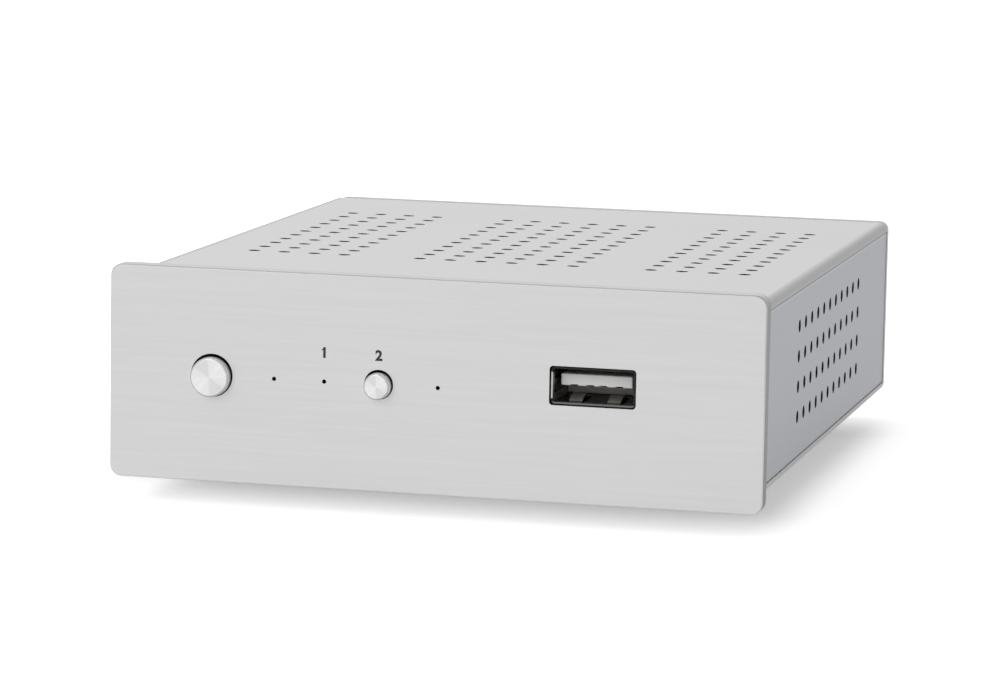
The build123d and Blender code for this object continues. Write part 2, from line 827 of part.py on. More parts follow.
contact_section = Plane(body_face.origin, x_dir=-body_face.z_dir, z_dir=body_face.x_dir)
contact_end = network_contact_start + network_contact_run
with BuildPart() as network_socket_contacts:
    for index in range(network_contacts):
        contact_x = (index - (network_contacts - 1) / 2) * network_contact_pitch
        with BuildSketch(contact_section.offset(contact_x)):
            Polygon(
                (network_contact_start, cavity_top),
                (contact_end, cavity_top - network_contact_drop),
                (contact_end, cavity_top - network_contact_drop - network_contact_thickness),
                (network_contact_start, cavity_top - network_contact_thickness),
                align=None,
            )
        extrude(amount=network_contact_width / 2, both=True)
save(network_socket_contacts, "network_socket_contacts")

# Computer input: a USB-B socket with its bevelled opening and square post
pc_mouth = Plane((pc_x, socket_y, board_top_z + pc_height / 2), x_dir=(-1, 0, 0), z_dir=(0, 1, 0))
with BuildPart() as pc_socket_shell:
    with BuildSketch(pc_mouth):
        Rectangle(pc_width, pc_height)
    extrude(amount=-pc_depth)
    with BuildSketch(pc_mouth.offset(-pc_wall)):
        Rectangle(pc_width - 2 * pc_wall, pc_height - 2 * pc_wall)
    extrude(amount=-pc_depth, mode=Mode.SUBTRACT)
    with BuildSketch(pc_mouth) as pc_opening:
        Rectangle(pc_opening_width, pc_opening_height)
        chamfer(pc_opening.vertices().group_by(Axis.Y)[-1], pc_opening_bevel)
    extrude(amount=-pc_wall, mode=Mode.SUBTRACT)
save(pc_socket_shell, "pc_socket_shell")

with BuildPart() as pc_socket_insulator:
    with BuildSketch(pc_mouth.offset(-pc_wall)):
        Rectangle(pc_width - 2 * pc_wall, pc_height - 2 * pc_wall)
    extrude(amount=-(pc_depth - pc_wall))
    with BuildSketch(pc_mouth.offset(-pc_wall)) as pc_cavity:
        Rectangle(pc_opening_width, pc_opening_height)
        chamfer(pc_cavity.vertices().group_by(Axis.Y)[-1], pc_opening_bevel)
    extrude(amount=-pc_cavity_depth, mode=Mode.SUBTRACT)
    with BuildSketch(pc_mouth.offset(-pc_post_setback)):
        Rectangle(pc_post_width, pc_post_height)
    extrude(amount=-(pc_wall + pc_cavity_depth - pc_post_setback))
save(pc_socket_insulator, "pc_socket_insulator")

pc_contact_rise = pc_post_height / 2 + pc_contact_thickness / 2
with BuildPart() as pc_socket_contacts:
    with BuildSketch(pc_mouth.offset(-pc_contact_setback)):
        with GridLocations(2 * pc_contact_x, 2 * pc_contact_rise, 2, 2):
            Rectangle(pc_contact_width, pc_contact_thickness)
    extrude(amount=-pc_contact_length)
save(pc_socket_contacts, "pc_socket_contacts")

# Inlet for the mains adapter
dc_mouth = Plane((dc_x, socket_y, board_top_z + dc_height / 2), x_dir=(-1, 0, 0), z_dir=(0, 1, 0))
with BuildPart() as dc_inlet_body:
    with BuildSketch(dc_mouth) as dc_section:
        Rectangle(dc_width, dc_height)
        chamfer(dc_section.vertices().group_by(Axis.Y)[-1], dc_top_bevel)
    extrude(amount=-dc_depth)
    with BuildSketch(dc_mouth):
        Circle(dc_bore_radius)
    extrude(amount=-dc_bore_depth, mode=Mode.SUBTRACT)
save(dc_inlet_body, "dc_inlet_body")

with BuildPart() as dc_inlet_pin:
    with BuildSketch(dc_mouth.offset(-dc_pin_setback)):
        Circle(dc_pin_radius)
    extrude(amount=-(dc_bore_depth - dc_pin_setback))
save(dc_inlet_pin, "dc_inlet_pin")

# Aerial socket: a block on the main board, its threaded barrel through the rear panel
aerial_z = board_top_z + aerial_rise
aerial_tip_y = rear_y + aerial_protrusion
aerial_seat_radius = aerial_thread_radius + aerial_seat_relief
seat_length = rear_panel_thickness + nut_thickness
with BuildPart() as aerial_jack:
    with BuildSketch(facing_front(rear_inner_y)):
        with Locations((aerial_x, board_top_z)):
            Rectangle(
                aerial_block_width,
                aerial_rise + aerial_block_width / 2,
                align=(Align.CENTER, Align.MIN),
            )
    extrude(amount=aerial_block_depth)
    with BuildSketch(facing_front(rear_inner_y)):
        with Locations((aerial_x, aerial_z)):
            small_hole(aerial_seat_radius)
    extrude(amount=-seat_length)
    with BuildSketch(facing_front(rear_inner_y)):
        with Locations((aerial_x, aerial_z)):
            Circle(aerial_thread_radius)
    extrude(amount=-(aerial_tip_y - rear_inner_y))
    chamfer(aerial_jack.faces().sort_by(Axis.Y)[-1].edges(), aerial_tip_bevel)
    with BuildSketch(facing_front(aerial_tip_y)):
        with Locations((aerial_x, aerial_z)):
            Circle(aerial_bore_radius)
    extrude(amount=aerial_bore_depth, mode=Mode.SUBTRACT)
save(aerial_jack, "aerial_jack")

with BuildPart() as aerial_insulator:
    with BuildSketch(facing_front(aerial_tip_y - aerial_insulator_recess)):
        with Locations((aerial_x, aerial_z)):
            small_rod(aerial_bore_radius - aerial_insulator_fit)
    extrude(amount=aerial_bore_depth - aerial_insulator_recess)
save(aerial_insulator, "aerial_insulator")

with BuildPart() as aerial_nut:
    with BuildSketch(facing_front(rear_y)):
        with Locations((aerial_x, aerial_z)):
            RegularPolygon(nut_width / 2, hex_sides, major_radius=False)
            RegularPolygon(
                aerial_seat_radius + nut_clearance, small_sides, major_radius=False, mode=Mode.SUBTRACT
            )
    extrude(amount=-nut_thickness)
save(aerial_nut, "aerial_nut")

# Processor module on its two connectors, with its chips and heat sink
module_y = main_board_y + module_share * main_board_length
module_z = board_top_z + connector_height
module_top_z = module_z + module_thickness
processor_top_z = module_top_z + processor_height
sink_height = ceiling_z - sink_gap - processor_top_z
connector_places = [(module_x, module_y + side * connector_spread / 2) for side in (-1, 1)]
save(
    board_blocks(connector_length, connector_width, connector_height, board_top_z, connector_places),
    "module_connectors",
)
save(
    board_blocks(module_length, module_width, module_thickness, module_z, [(module_x, module_y)]),
    "compute_module_board",
)
save(
    board_blocks(processor_width, processor_width, processor_height, module_top_z, [(module_x, module_y)]),
    "processor_chip",
)
save(
    board_blocks(
        memory_length, memory_width, memory_height, module_top_z, [(module_x + memory_x, module_y)]
    ),
    "memory_chip",
)

with BuildPart() as heat_sink:
    with BuildSketch(facing_front(module_y - sink_width / 2)):
        with Locations((module_x, processor_top_z)):
            Rectangle(sink_length, sink_base, align=(Align.CENTER, Align.MIN))
            with GridLocations((sink_length - sink_fin_thickness) / (sink_fins - 1), 0, sink_fins, 1):
                Rectangle(sink_fin_thickness, sink_height, align=(Align.CENTER, Align.MIN))
    extrude(amount=-sink_width)
save(heat_sink, "heat_sink")

# Parts soldered on the main board
wifi_places = [(wall_inner_x - wifi_inset, main_board_y + wifi_share * main_board_length)]
save(
    board_blocks(wifi_length, wifi_width, wifi_height, board_top_z, wifi_places, wifi_bevel),
    "wifi_module",
)

bridge_places = [(bridge_x, main_board_y + bridge_share * main_board_length)]
save(
    board_blocks(bridge_width, bridge_width, bridge_height, board_top_z, bridge_places, bridge_bevel),
    "usb_bridge_chip",
)

clock_y = main_board_y + clock_share * main_board_length
clock_places = [(clock_x + side * clock_pitch / 2, clock_y) for side in (-1, 1)]
save(
    board_blocks(clock_length, clock_width, clock_height, board_top_z, clock_places),
    "clock_oscillators",
)

capacitor_pitch = 2 * capacitor_radius + capacitor_gap_share * main_board_length
first_capacitor_y = main_board_y + capacitor_start_share * main_board_length + capacitor_radius
capacitor_ys = [first_capacitor_y + index * capacitor_pitch for index in range(capacitor_count)]
with BuildPart() as capacitors:
    with BuildSketch(Plane.XY.offset(board_top_z)):
        with Locations(*[(capacitor_inset - wall_inner_x, y) for y in capacitor_ys]):
            RegularPolygon(capacitor_radius, capacitor_sides)
    extrude(amount=capacitor_height)
save(capacitors, "capacitors")

inductor_pitch = inductor_width + inductor_gap_share * main_board_length
inductor_start_y = capacitor_ys[-1] + capacitor_radius + inductor_start_share * main_board_length
inductor_places = [
    (inductor_inset - wall_inner_x, inductor_start_y + inductor_width / 2 + index * inductor_pitch)
    for index in range(inductor_count)
]
with BuildPart() as inductors:
    with BuildSketch(Plane.XY.offset(board_top_z)) as inductor_section:
        with Locations(*inductor_places):
            Rectangle(inductor_width, inductor_width)
        chamfer(inductor_section.vertices(), inductor_bevel)
    extrude(amount=inductor_height)
save(inductors, "inductors")
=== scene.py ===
"""Looks of a compact network music streamer: brushed front, vented case, buttons, sockets and stage."""

from math import asin, cos, pi, radians, sin, tau
from types import SimpleNamespace

import bmesh
import bpy
from bpy.props import FloatProperty, FloatVectorProperty, IntProperty, PointerProperty, StringProperty
from mathutils import Matrix, Vector


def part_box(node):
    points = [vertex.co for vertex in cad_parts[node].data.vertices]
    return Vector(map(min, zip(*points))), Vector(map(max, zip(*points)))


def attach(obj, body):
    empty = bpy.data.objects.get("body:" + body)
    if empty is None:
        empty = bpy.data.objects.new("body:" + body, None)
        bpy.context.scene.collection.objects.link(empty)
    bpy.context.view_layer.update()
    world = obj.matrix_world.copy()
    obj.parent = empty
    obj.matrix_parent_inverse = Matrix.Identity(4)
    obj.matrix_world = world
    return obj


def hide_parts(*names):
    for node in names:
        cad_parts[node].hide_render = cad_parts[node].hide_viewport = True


bl_info = {
    "name": "Music streamer looks",
    "version": (1, 0, 0),
    "blender": (4, 5, 0),
    "location": "View3D > Sidebar > Streamer",
    "description": "Builds the visible pieces, finishes and stage of a compact network music streamer",
    "category": "Object",
}

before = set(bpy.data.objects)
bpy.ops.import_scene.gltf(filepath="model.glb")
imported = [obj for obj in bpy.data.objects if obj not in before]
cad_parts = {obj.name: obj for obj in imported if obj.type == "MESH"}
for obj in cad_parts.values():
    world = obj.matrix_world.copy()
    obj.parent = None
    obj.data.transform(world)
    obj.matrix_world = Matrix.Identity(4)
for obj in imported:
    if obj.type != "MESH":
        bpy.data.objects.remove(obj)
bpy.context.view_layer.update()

MM = 1000  # pieces are modelled in millimetres and brought to metres when they are done
SKIN = 0.00002  # a material takes a point this near to a face as part of it, in metres
INSET = 0.001  # holes lie at least this far inside an outline, in metres
TO_FRONT = (pi / 2, 0, 0)  # a drawing's X, Y and Z become X, Z and the way to the front
TO_REAR = (-pi / 2, 0, 0)
GRIT = 0.00001  # depth of a fine relief in metal, in metres
CORNER = 0.0018  # height of the front panel's corners, where the shade of its edges changes, in metres
PAST = 1.1  # just past a bevel, as a multiple of its width
VENT_SIDES = 16  # facets of a vent hole
DIGIT_HEIGHT = 0.69  # height of a digit, as a share of the letters' size
LAMPS = ("power_led", "input_1_led", "input_2_led")
REAR_SOCKETS = (
    "network_socket_shield", "rear_usb_1_shell", "rear_usb_2_shell", "pc_socket_shell", "dc_inlet_body"
)
CONTACTS = (-3.5, -1.0, 1.0, 3.5)  # middles of a USB socket's contacts, in millimetres


def length(name, default_mm, description):
    """A length property, given in millimetres and kept in metres."""
    return FloatProperty(
        name=name, description=description, default=default_mm / MM, min=0, unit="LENGTH", precision=5
    )


def colour(name, default, description):
    """A colour property, in linear light."""
    return FloatVectorProperty(
        name=name, description=description, default=default, min=0, max=1, size=3, subtype="COLOR"
    )


class STREAMER_PG_front(bpy.types.PropertyGroup):
    """Sizes of the front panel, its buttons, lamps and numbers."""

    corner_radius: length("Corner radius", 1.8, "Radius of the panel's corners")
    edge_bevel: length("Edge bevel", 0.25, "Bevel round the face of the panel")
    hole_bevel: length("Hole bevel", 0.07, "Bevel round the holes in the panel")
    power_radius: length("Power button radius", 3.06, "Radius of the large button")
    source_radius: length("Source button radius", 2.04, "Radius of the small button")
    power_gap: length("Power button gap", 0.29, "Gap round the large button in its hole")
    source_gap: length("Source button gap", 0.25, "Gap round the small button in its hole")
    button_sag: length("Button sag", 0.16, "How far a button's head hangs low in its hole")
    button_bevel: length("Button bevel", 0.3, "Bevel round the face of a button")
    flange_margin: length("Flange margin", 0.9, "How far a button's flange stands out past its head")
    flange_thickness: length("Flange thickness", 1.0, "Thickness of a button's flange")
    stem_radius: length("Stem radius", 1.2, "Radius of a button's stem")
    lamp_hole_radius: length("Lamp hole radius", 0.33, "Radius of the pin holes over the lamps")
    lamp_radius: length("Lamp radius", 1.5, "Radius of a lamp's body")
    usb_gap: length("USB gap", 0.15, "Gap between the panel and the USB shell")
    usb_corner: length("USB cut-out corner", 0.55, "Corner radius of the USB cut-out")
    number_height: length("Number height", 1.5, "Height of the printed numbers")
    number_rise: length("Number rise", 3.75, "Lower edge of the numbers above the buttons' axis")
    number_weight: length("Number weight", 0.09, "How far the numbers' strokes are thickened")
    ink_thickness: length("Ink thickness", 0.02, "Thickness of the printed ink")
    first_number: StringProperty(name="First number", description="Printed over the second lamp", default="1")
    second_number: StringProperty(
        name="Second number", description="Printed over the small button", default="2"
    )


class STREAMER_PG_case(bpy.types.PropertyGroup):
    """Sizes of the case: covers, side rails, rear panel and feet."""

    vent_radius: length("Vent radius", 1.0, "Radius of a vent hole")
    vent_rim: length("Vent rim", 0.07, "Bevel round a vent hole")
    vent_across: length("Vent pitch across", 5.06, "Pitch of the vents across the top")
    vent_along: length("Vent pitch along", 5.75, "Pitch of the vent rows along the case")
    vent_up: length("Vent pitch up", 4.83, "Pitch of the vents up the sides")
    top_vent_start: length("First top row", 39.0, "Front face to the first row of top vents")
    side_vent_along: length("Side vent pitch", 5.5, "Pitch of the side vents along the case")
    side_vent_start: length("First side row", 36.95, "Front face to the first side vent")
    rows_along: IntProperty(name="Rows along", description="Rows of vents along the case", default=11)
    rows_up: IntProperty(name="Rows up", description="Rows of vents up a side", default=4)
    cover_edge: length("Cover edge radius", 1.5, "Radius of the covers' long edges")
    side_wall: length("Side wall", 1.6, "Thickness of the side walls")
    side_proud: length("Side proud", 0.15, "How much less the drawn side walls are set back")
    seam_bevel: length("Seam bevel", 0.15, "Bevel along a wall's seams")
    boss_width: length("Boss width", 6.5, "Width of a screw boss")
    boss_height: length("Boss height", 5.5, "Height of a screw boss")
    neck: length("Dovetail neck", 2.4, "Width of a dovetail rib at its root")
    flare: length("Dovetail flare", 0.4, "How far a dovetail widens on each side")
    rib_height: length("Dovetail height", 1.2, "Height of a dovetail rib")
    rib_gap: length("Dovetail gap", 0.1, "Clearance of a dovetail rib in its groove")
    channel_radius: length("Channel radius", 1.25, "Radius of a screw channel")
    channel_wall: length("Channel wall", 0.7, "Wall between a groove and its channel")
    channel_slot: length("Channel slot", 1.2, "Slot along a screw channel")
    lip_depth: length("Lip depth", 2.0, "Depth of the lip over the main board")
    lip_height: length("Lip height", 1.0, "Height of the lip over the main board")
    lip_gap: length("Lip gap", 0.15, "Clearance between the lip and the main board")
    rear_bevel: length("Rear bevel", 0.3, "Bevel round the rear panel")
    socket_gap: length("Socket gap", 0.2, "Clearance round a socket in the rear panel")
    foot_bevel: length("Foot bevel", 0.7, "Rounding of a foot's lower edge")


class STREAMER_PG_sockets(bpy.types.PropertyGroup):
    """Sizes of the sockets and screws."""

    sheet: length("Sheet", 0.3, "Thickness of the sheet metal shells")
    shell_corner: length("Shell corner", 0.6, "Corner radius of a USB shell")
    tongue_width: length("Tongue width", 11.1, "Width of a USB tongue")
    tongue_thickness: length("Tongue thickness", 1.84, "Thickness of a USB tongue")
    tongue_rise: length("Tongue rise", 0.63, "USB tongue's middle above the socket's middle")
    tongue_setback: length("Tongue setback", 2.4, "USB mouth to the tongue's end")
    block_depth: length("Block depth", 4.0, "Depth of the block that carries a USB tongue")
    groove_depth: length("Groove depth", 0.22, "Depth of the contact grooves in a USB tongue")
    contact_width: length("Contact width", 1.0, "Width of a USB contact")
    finger_width: length("Finger width", 2.0, "Width of a USB spring finger")
    finger_place: length("Finger place", 2.95, "Middle of the socket to each spring finger")
    finger_lift: length("Finger lift", 0.95, "Height of a USB spring finger")
    thread_pitch: length("Thread pitch", 0.706, "Pitch of the aerial thread")
    thread_depth: length("Thread depth", 0.35, "Depth of the aerial thread")
    thread_radius: length("Thread radius", 3.175, "Outer radius of the aerial thread")
    aerial_bore: length("Aerial bore", 2.3, "Radius of the aerial socket's bore")
    nut_width: length("Nut width", 8.0, "Width of the aerial nut across its flats")
    screw_head: length("Screw head radius", 2.3, "Radius of a pan head")
    screw_shank: length("Screw shank radius", 1.2, "Radius of a screw's shank")


class STREAMER_PG_colours(bpy.types.PropertyGroup):
    """Colours of the finishes."""

    front: colour("Front", (0.620, 0.620, 0.622), "Brushed front panel")
    covers: colour("Covers", (0.625, 0.625, 0.625), "Satin covers")
    # painted shade: the sides are the covers' satin, given a darker colour for the weaker light on them
    sides: colour("Sides", (0.368, 0.379, 0.404), "Satin side walls")
    buttons: colour("Buttons", (0.735, 0.735, 0.738), "Turned buttons")
    steel: colour("Sheet steel", (0.480, 0.462, 0.440), "Plated sheet shells")
    gold: colour("Gold", (0.780, 0.560, 0.230), "Plated contacts and aerial socket")
    pale_plastic: colour("Pale plastic", (0.930, 0.930, 0.915), "USB tongues")
    dark_plastic: colour("Dark plastic", (0.020, 0.020, 0.021), "Socket bodies and chips")
    board: colour("Circuit board", (0.012, 0.070, 0.035), "Solder resist")
    rubber: colour("Rubber", (0.018, 0.018, 0.018), "Feet")
    ink: colour("Ink", (0.016, 0.016, 0.017), "Printed numbers")


SETTINGS = {
    "streamer_front": STREAMER_PG_front,
    "streamer_case": STREAMER_PG_case,
    "streamer_sockets": STREAMER_PG_sockets,
    "streamer_colours": STREAMER_PG_colours,
}


def settings(name):
    """The values of a settings group, with its lengths in millimetres."""
    group = getattr(bpy.context.scene, "streamer_" + name)
    values = {}
    for key, prop in group.bl_rna.properties.items():
        if prop.type == "FLOAT" and prop.unit == "LENGTH":
            values[key] = getattr(group, key) * MM
        elif prop.type in {"INT", "STRING"} and key != "name":
            values[key] = getattr(group, key)
    return SimpleNamespace(**values)


def box(node):
    """Lowest corner, highest corner and middle of a CAD node, in millimetres."""
    low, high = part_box(node)
    return low * MM, high * MM, (low + high) * MM / 2


# Modelling: each helper works on the mesh that is being edited, as its menu command does


def clear():
    """Leave edit mode, with nothing selected."""
    if bpy.context.object and bpy.context.object.mode == "EDIT":
        bpy.ops.object.mode_set(mode="OBJECT")
    bpy.ops.object.select_all(action="DESELECT")


def begin(name, add=bpy.ops.mesh.primitive_plane_add, **how):
    """Add a primitive as a new piece and open it for editing, with all of it selected."""
    clear()
    add(**how)
    piece = bpy.context.object
    piece.name = name
    piece.data.name = name
    bpy.ops.object.mode_set(mode="EDIT")
    select_all()
    return piece


def close(piece):
    """Leave edit mode with only this piece selected."""
    clear()
    piece.select_set(True)
    bpy.context.view_layer.objects.active = piece
    return piece


def select_all():
    """Select every vertex of the piece that is being edited."""
    bpy.context.tool_settings.mesh_select_mode = (True, False, False)
    bpy.ops.mesh.select_all(action="SELECT")


def settle(piece, turn=(0, 0, 0), place=(0, 0, 0), scale=1.0):
    """Turn, place and scale a piece, and keep all of that in its mesh."""
    close(piece)
    piece.rotation_euler = turn
    piece.location = place
    piece.scale = (scale, scale, scale)
    bpy.ops.object.transform_apply(location=True, rotation=True, scale=True)


def modify(piece, kind, **setup):
    """Give a piece a modifier and apply it."""
    close(piece)
    bpy.ops.object.modifier_add(type=kind)
    change = piece.modifiers[-1]
    for key, value in setup.items():
        setattr(change, key, value)
    bpy.ops.object.modifier_apply(modifier=change.name)
    return piece


def pick(kind, test):
    """Select the vertices, edges or faces that pass a test."""
    mesh_data = bpy.context.object.data
    bpy.context.tool_settings.mesh_select_mode = (kind == "verts", kind == "edges", kind == "faces")
    bpy.ops.mesh.select_all(action="DESELECT")
    mesh = bmesh.from_edit_mesh(mesh_data)
    mesh.normal_update()
    for item in [item for item in getattr(mesh, kind) if test(item)]:
        item.select_set(True)
    bmesh.update_edit_mesh(mesh_data)


def near(a, b):
    """Whether two lengths are the same, to a thousandth of a millimetre."""
    return abs(a - b) < 1e-3


def sharp(edge):
    """Whether an edge joins two faces at a clear angle."""
    return len(edge.link_faces) == 2 and edge.calc_face_angle(0) > 0.9


def rim(level, axis=2):
    """A test for the sharp edges that lie at one level along an axis."""
    return lambda edge: sharp(edge) and all(near(vert.co[axis], level) for vert in edge.verts)


def bevel(test, width, segments):
    """Bevel the edges that pass a test."""
    pick("edges", test)
    bpy.ops.mesh.bevel(affect="EDGES", offset=width, segments=segments, clamp_overlap=True)


def extrude(by):
    """Push out what is selected."""
    bpy.ops.mesh.extrude_region_move(TRANSFORM_OT_translate={"value": by})


def heal():
    """Merge doubles and point every face outwards."""
    select_all()
    bpy.ops.mesh.remove_doubles(threshold=1e-4)
    bpy.ops.mesh.normals_make_consistent(inside=False)


def draw(points):
    """Turn what is selected into a line through the given points."""
    bpy.ops.mesh.merge(type="CENTER")
    mesh = bmesh.from_edit_mesh(bpy.context.object.data)
    here = next(vert.co.copy() for vert in mesh.verts if vert.select)
    bpy.ops.transform.translate(value=Vector(points[0]) - here)
    for start, end in zip(points, points[1:]):
        extrude(Vector(end) - Vector(start))


def bar(name, points, along):
    """A straight bar with the given section, pushed along one direction."""
    piece = begin(name)
    draw(points)
    # an edge between the line's two ends, then the section's face
    pick("verts", lambda vert: len(vert.link_edges) == 1)
    bpy.ops.mesh.edge_face_add()
    select_all()
    bpy.ops.mesh.edge_face_add()
    extrude(along)
    heal()
    return close(piece)


def ring(x, y, radius, sides):
    """Add a round outline to the flat drawing."""
    bpy.ops.mesh.primitive_circle_add(vertices=sides, radius=radius, fill_type="NOTHING", location=(x, y, 0))


def rectangle(x, y, width, height, corner=0.0, segments=1, added=True):
    """Add a rectangle, with rounded corners if asked, to the flat drawing."""
    if added:
        bpy.ops.mesh.primitive_plane_add(size=1, location=(x, y, 0))
    else:
        bpy.ops.transform.translate(value=(x, y, 0))
    bpy.ops.transform.resize(value=(width, height, 1), center_override=(x, y, 0))
    if corner:
        bpy.ops.mesh.bevel(affect="VERTICES", offset=corner, segments=segments)
    bpy.ops.mesh.delete(type="ONLY_FACE")


def cut_sheet(thickness):
    """Fill the flat drawing, leaving its holes open, and give it its thickness below."""
    select_all()
    bpy.ops.mesh.fill(use_beauty=True)
    select_all()
    bpy.ops.mesh.dissolve_limited(angle_limit=0.001)
    select_all()
    extrude((0, 0, -thickness))
    heal()


def turned(name, steps, sides):
    """A turned piece about the Z axis, from (height, radius) steps between two points on the axis."""
    piece = begin(name)
    draw([(radius, 0, height) for height, radius in steps])
    select_all()
    bpy.ops.mesh.spin(steps=sides, angle=tau, center=(0, 0, 0), axis=(0, 0, 1), use_auto_merge=True)
    heal()
    return close(piece)


def block(name, low, high, edge=0.0, segments=2):
    """A box between two corners, with its edges rounded if asked."""
    low, high = Vector(low), Vector(high)
    piece = begin(name, bpy.ops.mesh.primitive_cube_add, size=1)
    bpy.ops.transform.resize(value=high - low, center_override=(0, 0, 0))
    bpy.ops.transform.translate(value=(low + high) / 2)
    if edge:
        bevel(sharp, edge, segments)
    return close(piece)


def cut(piece, cutter, operation="DIFFERENCE"):
    """Cut one piece with another, which is used up."""
    modify(piece, "BOOLEAN", operation=operation, solver="EXACT", object=cutter)
    bpy.data.objects.remove(cutter)
    return piece


def copy_to(piece, offset):
    """A copy with its own mesh, moved by an offset."""
    close(piece)
    bpy.ops.object.duplicate(linked=False)
    bpy.ops.transform.translate(value=offset)
    return bpy.context.object


def join(pieces):
    """Make several objects into one piece."""
    close(pieces[0])
    for other in pieces[1:]:
        other.select_set(True)
    bpy.ops.object.join()
    return pieces[0]


def repeat(piece, offsets):
    """Join a piece with copies of itself at the given offsets."""
    return join([piece, *(copy_to(piece, offset) for offset in offsets)])


def softened(node, name, width):
    """A copy of a CAD node with the fine rounding that its mould or die leaves on the edges."""
    piece = bpy.data.objects.new(name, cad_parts[node].data.copy())
    bpy.context.scene.collection.objects.link(piece)
    piece.data.name = name
    piece.data.materials.clear()
    settle(piece, scale=MM)
    bpy.ops.object.mode_set(mode="EDIT")
    select_all()
    bpy.ops.mesh.remove_doubles(threshold=1e-3)
    bpy.ops.mesh.dissolve_limited(angle_limit=0.01)
    bpy.ops.object.mode_set(mode="OBJECT")
    return modify(piece, "BEVEL", width=width, segments=2, limit_method="ANGLE", angle_limit=radians(40))


def fit(piece, body, look, *nodes, turn=(0, 0, 0), place=(0, 0, 0), slot=None, smooth=35):
    """Bring a finished piece to metres and its place, give it its look and let it ride on its body."""
    settle(piece, turn, Vector(place) / MM, 1 / MM)
    bpy.ops.object.shade_smooth_by_angle(angle=radians(smooth))
    modify(piece, "WEIGHTED_NORMAL", keep_sharp=True)
    piece.data.materials.clear()
    piece.data.materials.append(look)
    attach(piece, body)
    if nodes:
        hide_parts(*nodes)


def fit_softened(*rows):
    """Round the edges of CAD nodes and give them their looks, from rows of node, name, width and look."""
    for node, name, width, look in rows:
        fit(softened(node, name, width), "case", plain_finish(look), node)


# Finishes


def maths(operation, swapped=False):
    """One of Python's signs, as a maths node."""

    def act(value, other=None):
        return value.work(operation, *((other, value) if swapped else (value, other)))

    return act


class Value:
    """A socket of a node tree that Python's own signs work on."""

    def __init__(self, nodes, socket):
        self.nodes = nodes
        self.socket = socket

    def work(self, operation, left, right=None):
        """A maths node on two values or numbers."""
        return self.nodes.node("Math", {"operation": operation}, {0: left, 1: right})

    def ramp(self, start, end, low, high, **setup):
        """This value brought from one range to another, and held at its ends."""
        return self.nodes.node("MapRange", setup, {0: self, 1: start, 2: end, 3: low, 4: high})

    __add__ = __radd__ = maths("ADD")
    __sub__ = maths("SUBTRACT")
    __rsub__ = maths("SUBTRACT", swapped=True)
    __mul__ = __rmul__ = maths("MULTIPLY")
    __truediv__ = maths("DIVIDE")
    __abs__ = maths("ABSOLUTE")
    __gt__ = maths("GREATER_THAN")
    __lt__ = maths("LESS_THAN")


class Nodes:
    """The node tree of a material or a world."""

    def __init__(self, owner):
        owner.use_nodes = True
        self.tree = owner.node_tree

    def node(self, kind, setup=None, sockets=None, output=0):
        """Add a node, set it up, then give its sockets values or links. Returns one output."""
        node = self.tree.nodes.new("ShaderNode" + kind)
        for key, value in (setup or {}).items():
            setattr(node, key, value)
        for key, value in (sockets or {}).items():
            if isinstance(value, Value):
                self.tree.links.new(value.socket, node.inputs[key])
            elif value is not None:
                node.inputs[key].default_value = value
        return Value(self, node.outputs[output])

    def rays(self):
        """Whether a ray is the camera's, a gloss's or a see-through one, as three values."""
        path = self.node("LightPath").socket.node.outputs
        return [Value(self, path[f"Is {kind} Ray"]) for kind in ("Camera", "Glossy", "Transmission")]


def socket_name(key):
    """The shader's own name of a socket, such as Base Color for base_color."""
    return key.replace("_", " ").title().replace("Ior", "IOR")


class Finish(Nodes):
    """A material under construction, on the sockets of one Principled shader."""

    def __init__(self, name, **constants):
        self.material = bpy.data.materials.new(name)
        super().__init__(self.material)
        self.shader = self.tree.nodes["Principled BSDF"]
        for key, value in constants.items():
            self.shader.inputs[socket_name(key)].default_value = value

    def place(self):
        """Where a point of the piece is, in metres."""
        return self.node("TexCoord", output="Object")

    def around(self, centre):
        """The same, from the middle of a round piece."""
        moved = tuple(-value for value in centre)
        return self.node("Mapping", {"vector_type": "POINT"}, {"Vector": self.place(), "Location": moved})

    def parts(self, vector):
        """The X, Y and Z of a vector."""
        split = self.node("SeparateXYZ", None, {0: vector}).socket.node
        return [Value(self, output) for output in split.outputs]

    def span(self, vector):
        """The length of a vector."""
        return self.node("VectorMath", {"operation": "LENGTH"}, {0: vector}, "Value")

    def product(self, vector, scale):
        """A vector or colour times another."""
        return self.node("VectorMath", {"operation": "MULTIPLY"}, {0: vector, 1: scale})

    def noise(self, vector, scale, detail=2.0, roughness=0.5):
        """Noise whose middle is about one half. Its scale is one number, or one for each axis."""
        if isinstance(scale, tuple):
            vector, scale = self.product(vector, scale), 1.0
        sockets = {"Vector": vector, "Scale": scale, "Detail": detail, "Roughness": roughness}
        return self.node("TexNoise", None, sockets)

    def tint(self, shade, amount):
        """A colour made lighter or darker by a value that is about one."""
        grey = self.node("CombineXYZ", None, {0: amount, 1: amount, 2: amount})
        return self.product((*shade,), grey)

    def blend(self, share, first, second):
        """Two colours mixed by a share."""
        first, second = (shade if isinstance(shade, Value) else (*shade, 1.0) for shade in (first, second))
        return self.node("Mix", {"data_type": "RGBA"}, {0: share, 6: first, 7: second}, 2)

    def feed(self, **sockets):
        """Link varying values to the shader's sockets."""
        for key, value in sockets.items():
            self.tree.links.new(value.socket, self.shader.inputs[socket_name(key)])

    def relief(self, height, depth, strength):
        """A fine relief in the surface, its depth in metres. Returns the finished material."""
        self.feed(normal=self.node("Bump", None, {"Height": height, "Distance": depth, "Strength": strength}))
        return self.material

    def dress(self, shade, level, roughness, *relief):
        """Give the surface its colour, roughness and relief. Returns the finished material."""
        self.feed(base_color=self.tint(shade, level), roughness=roughness)
        return self.relief(*relief)


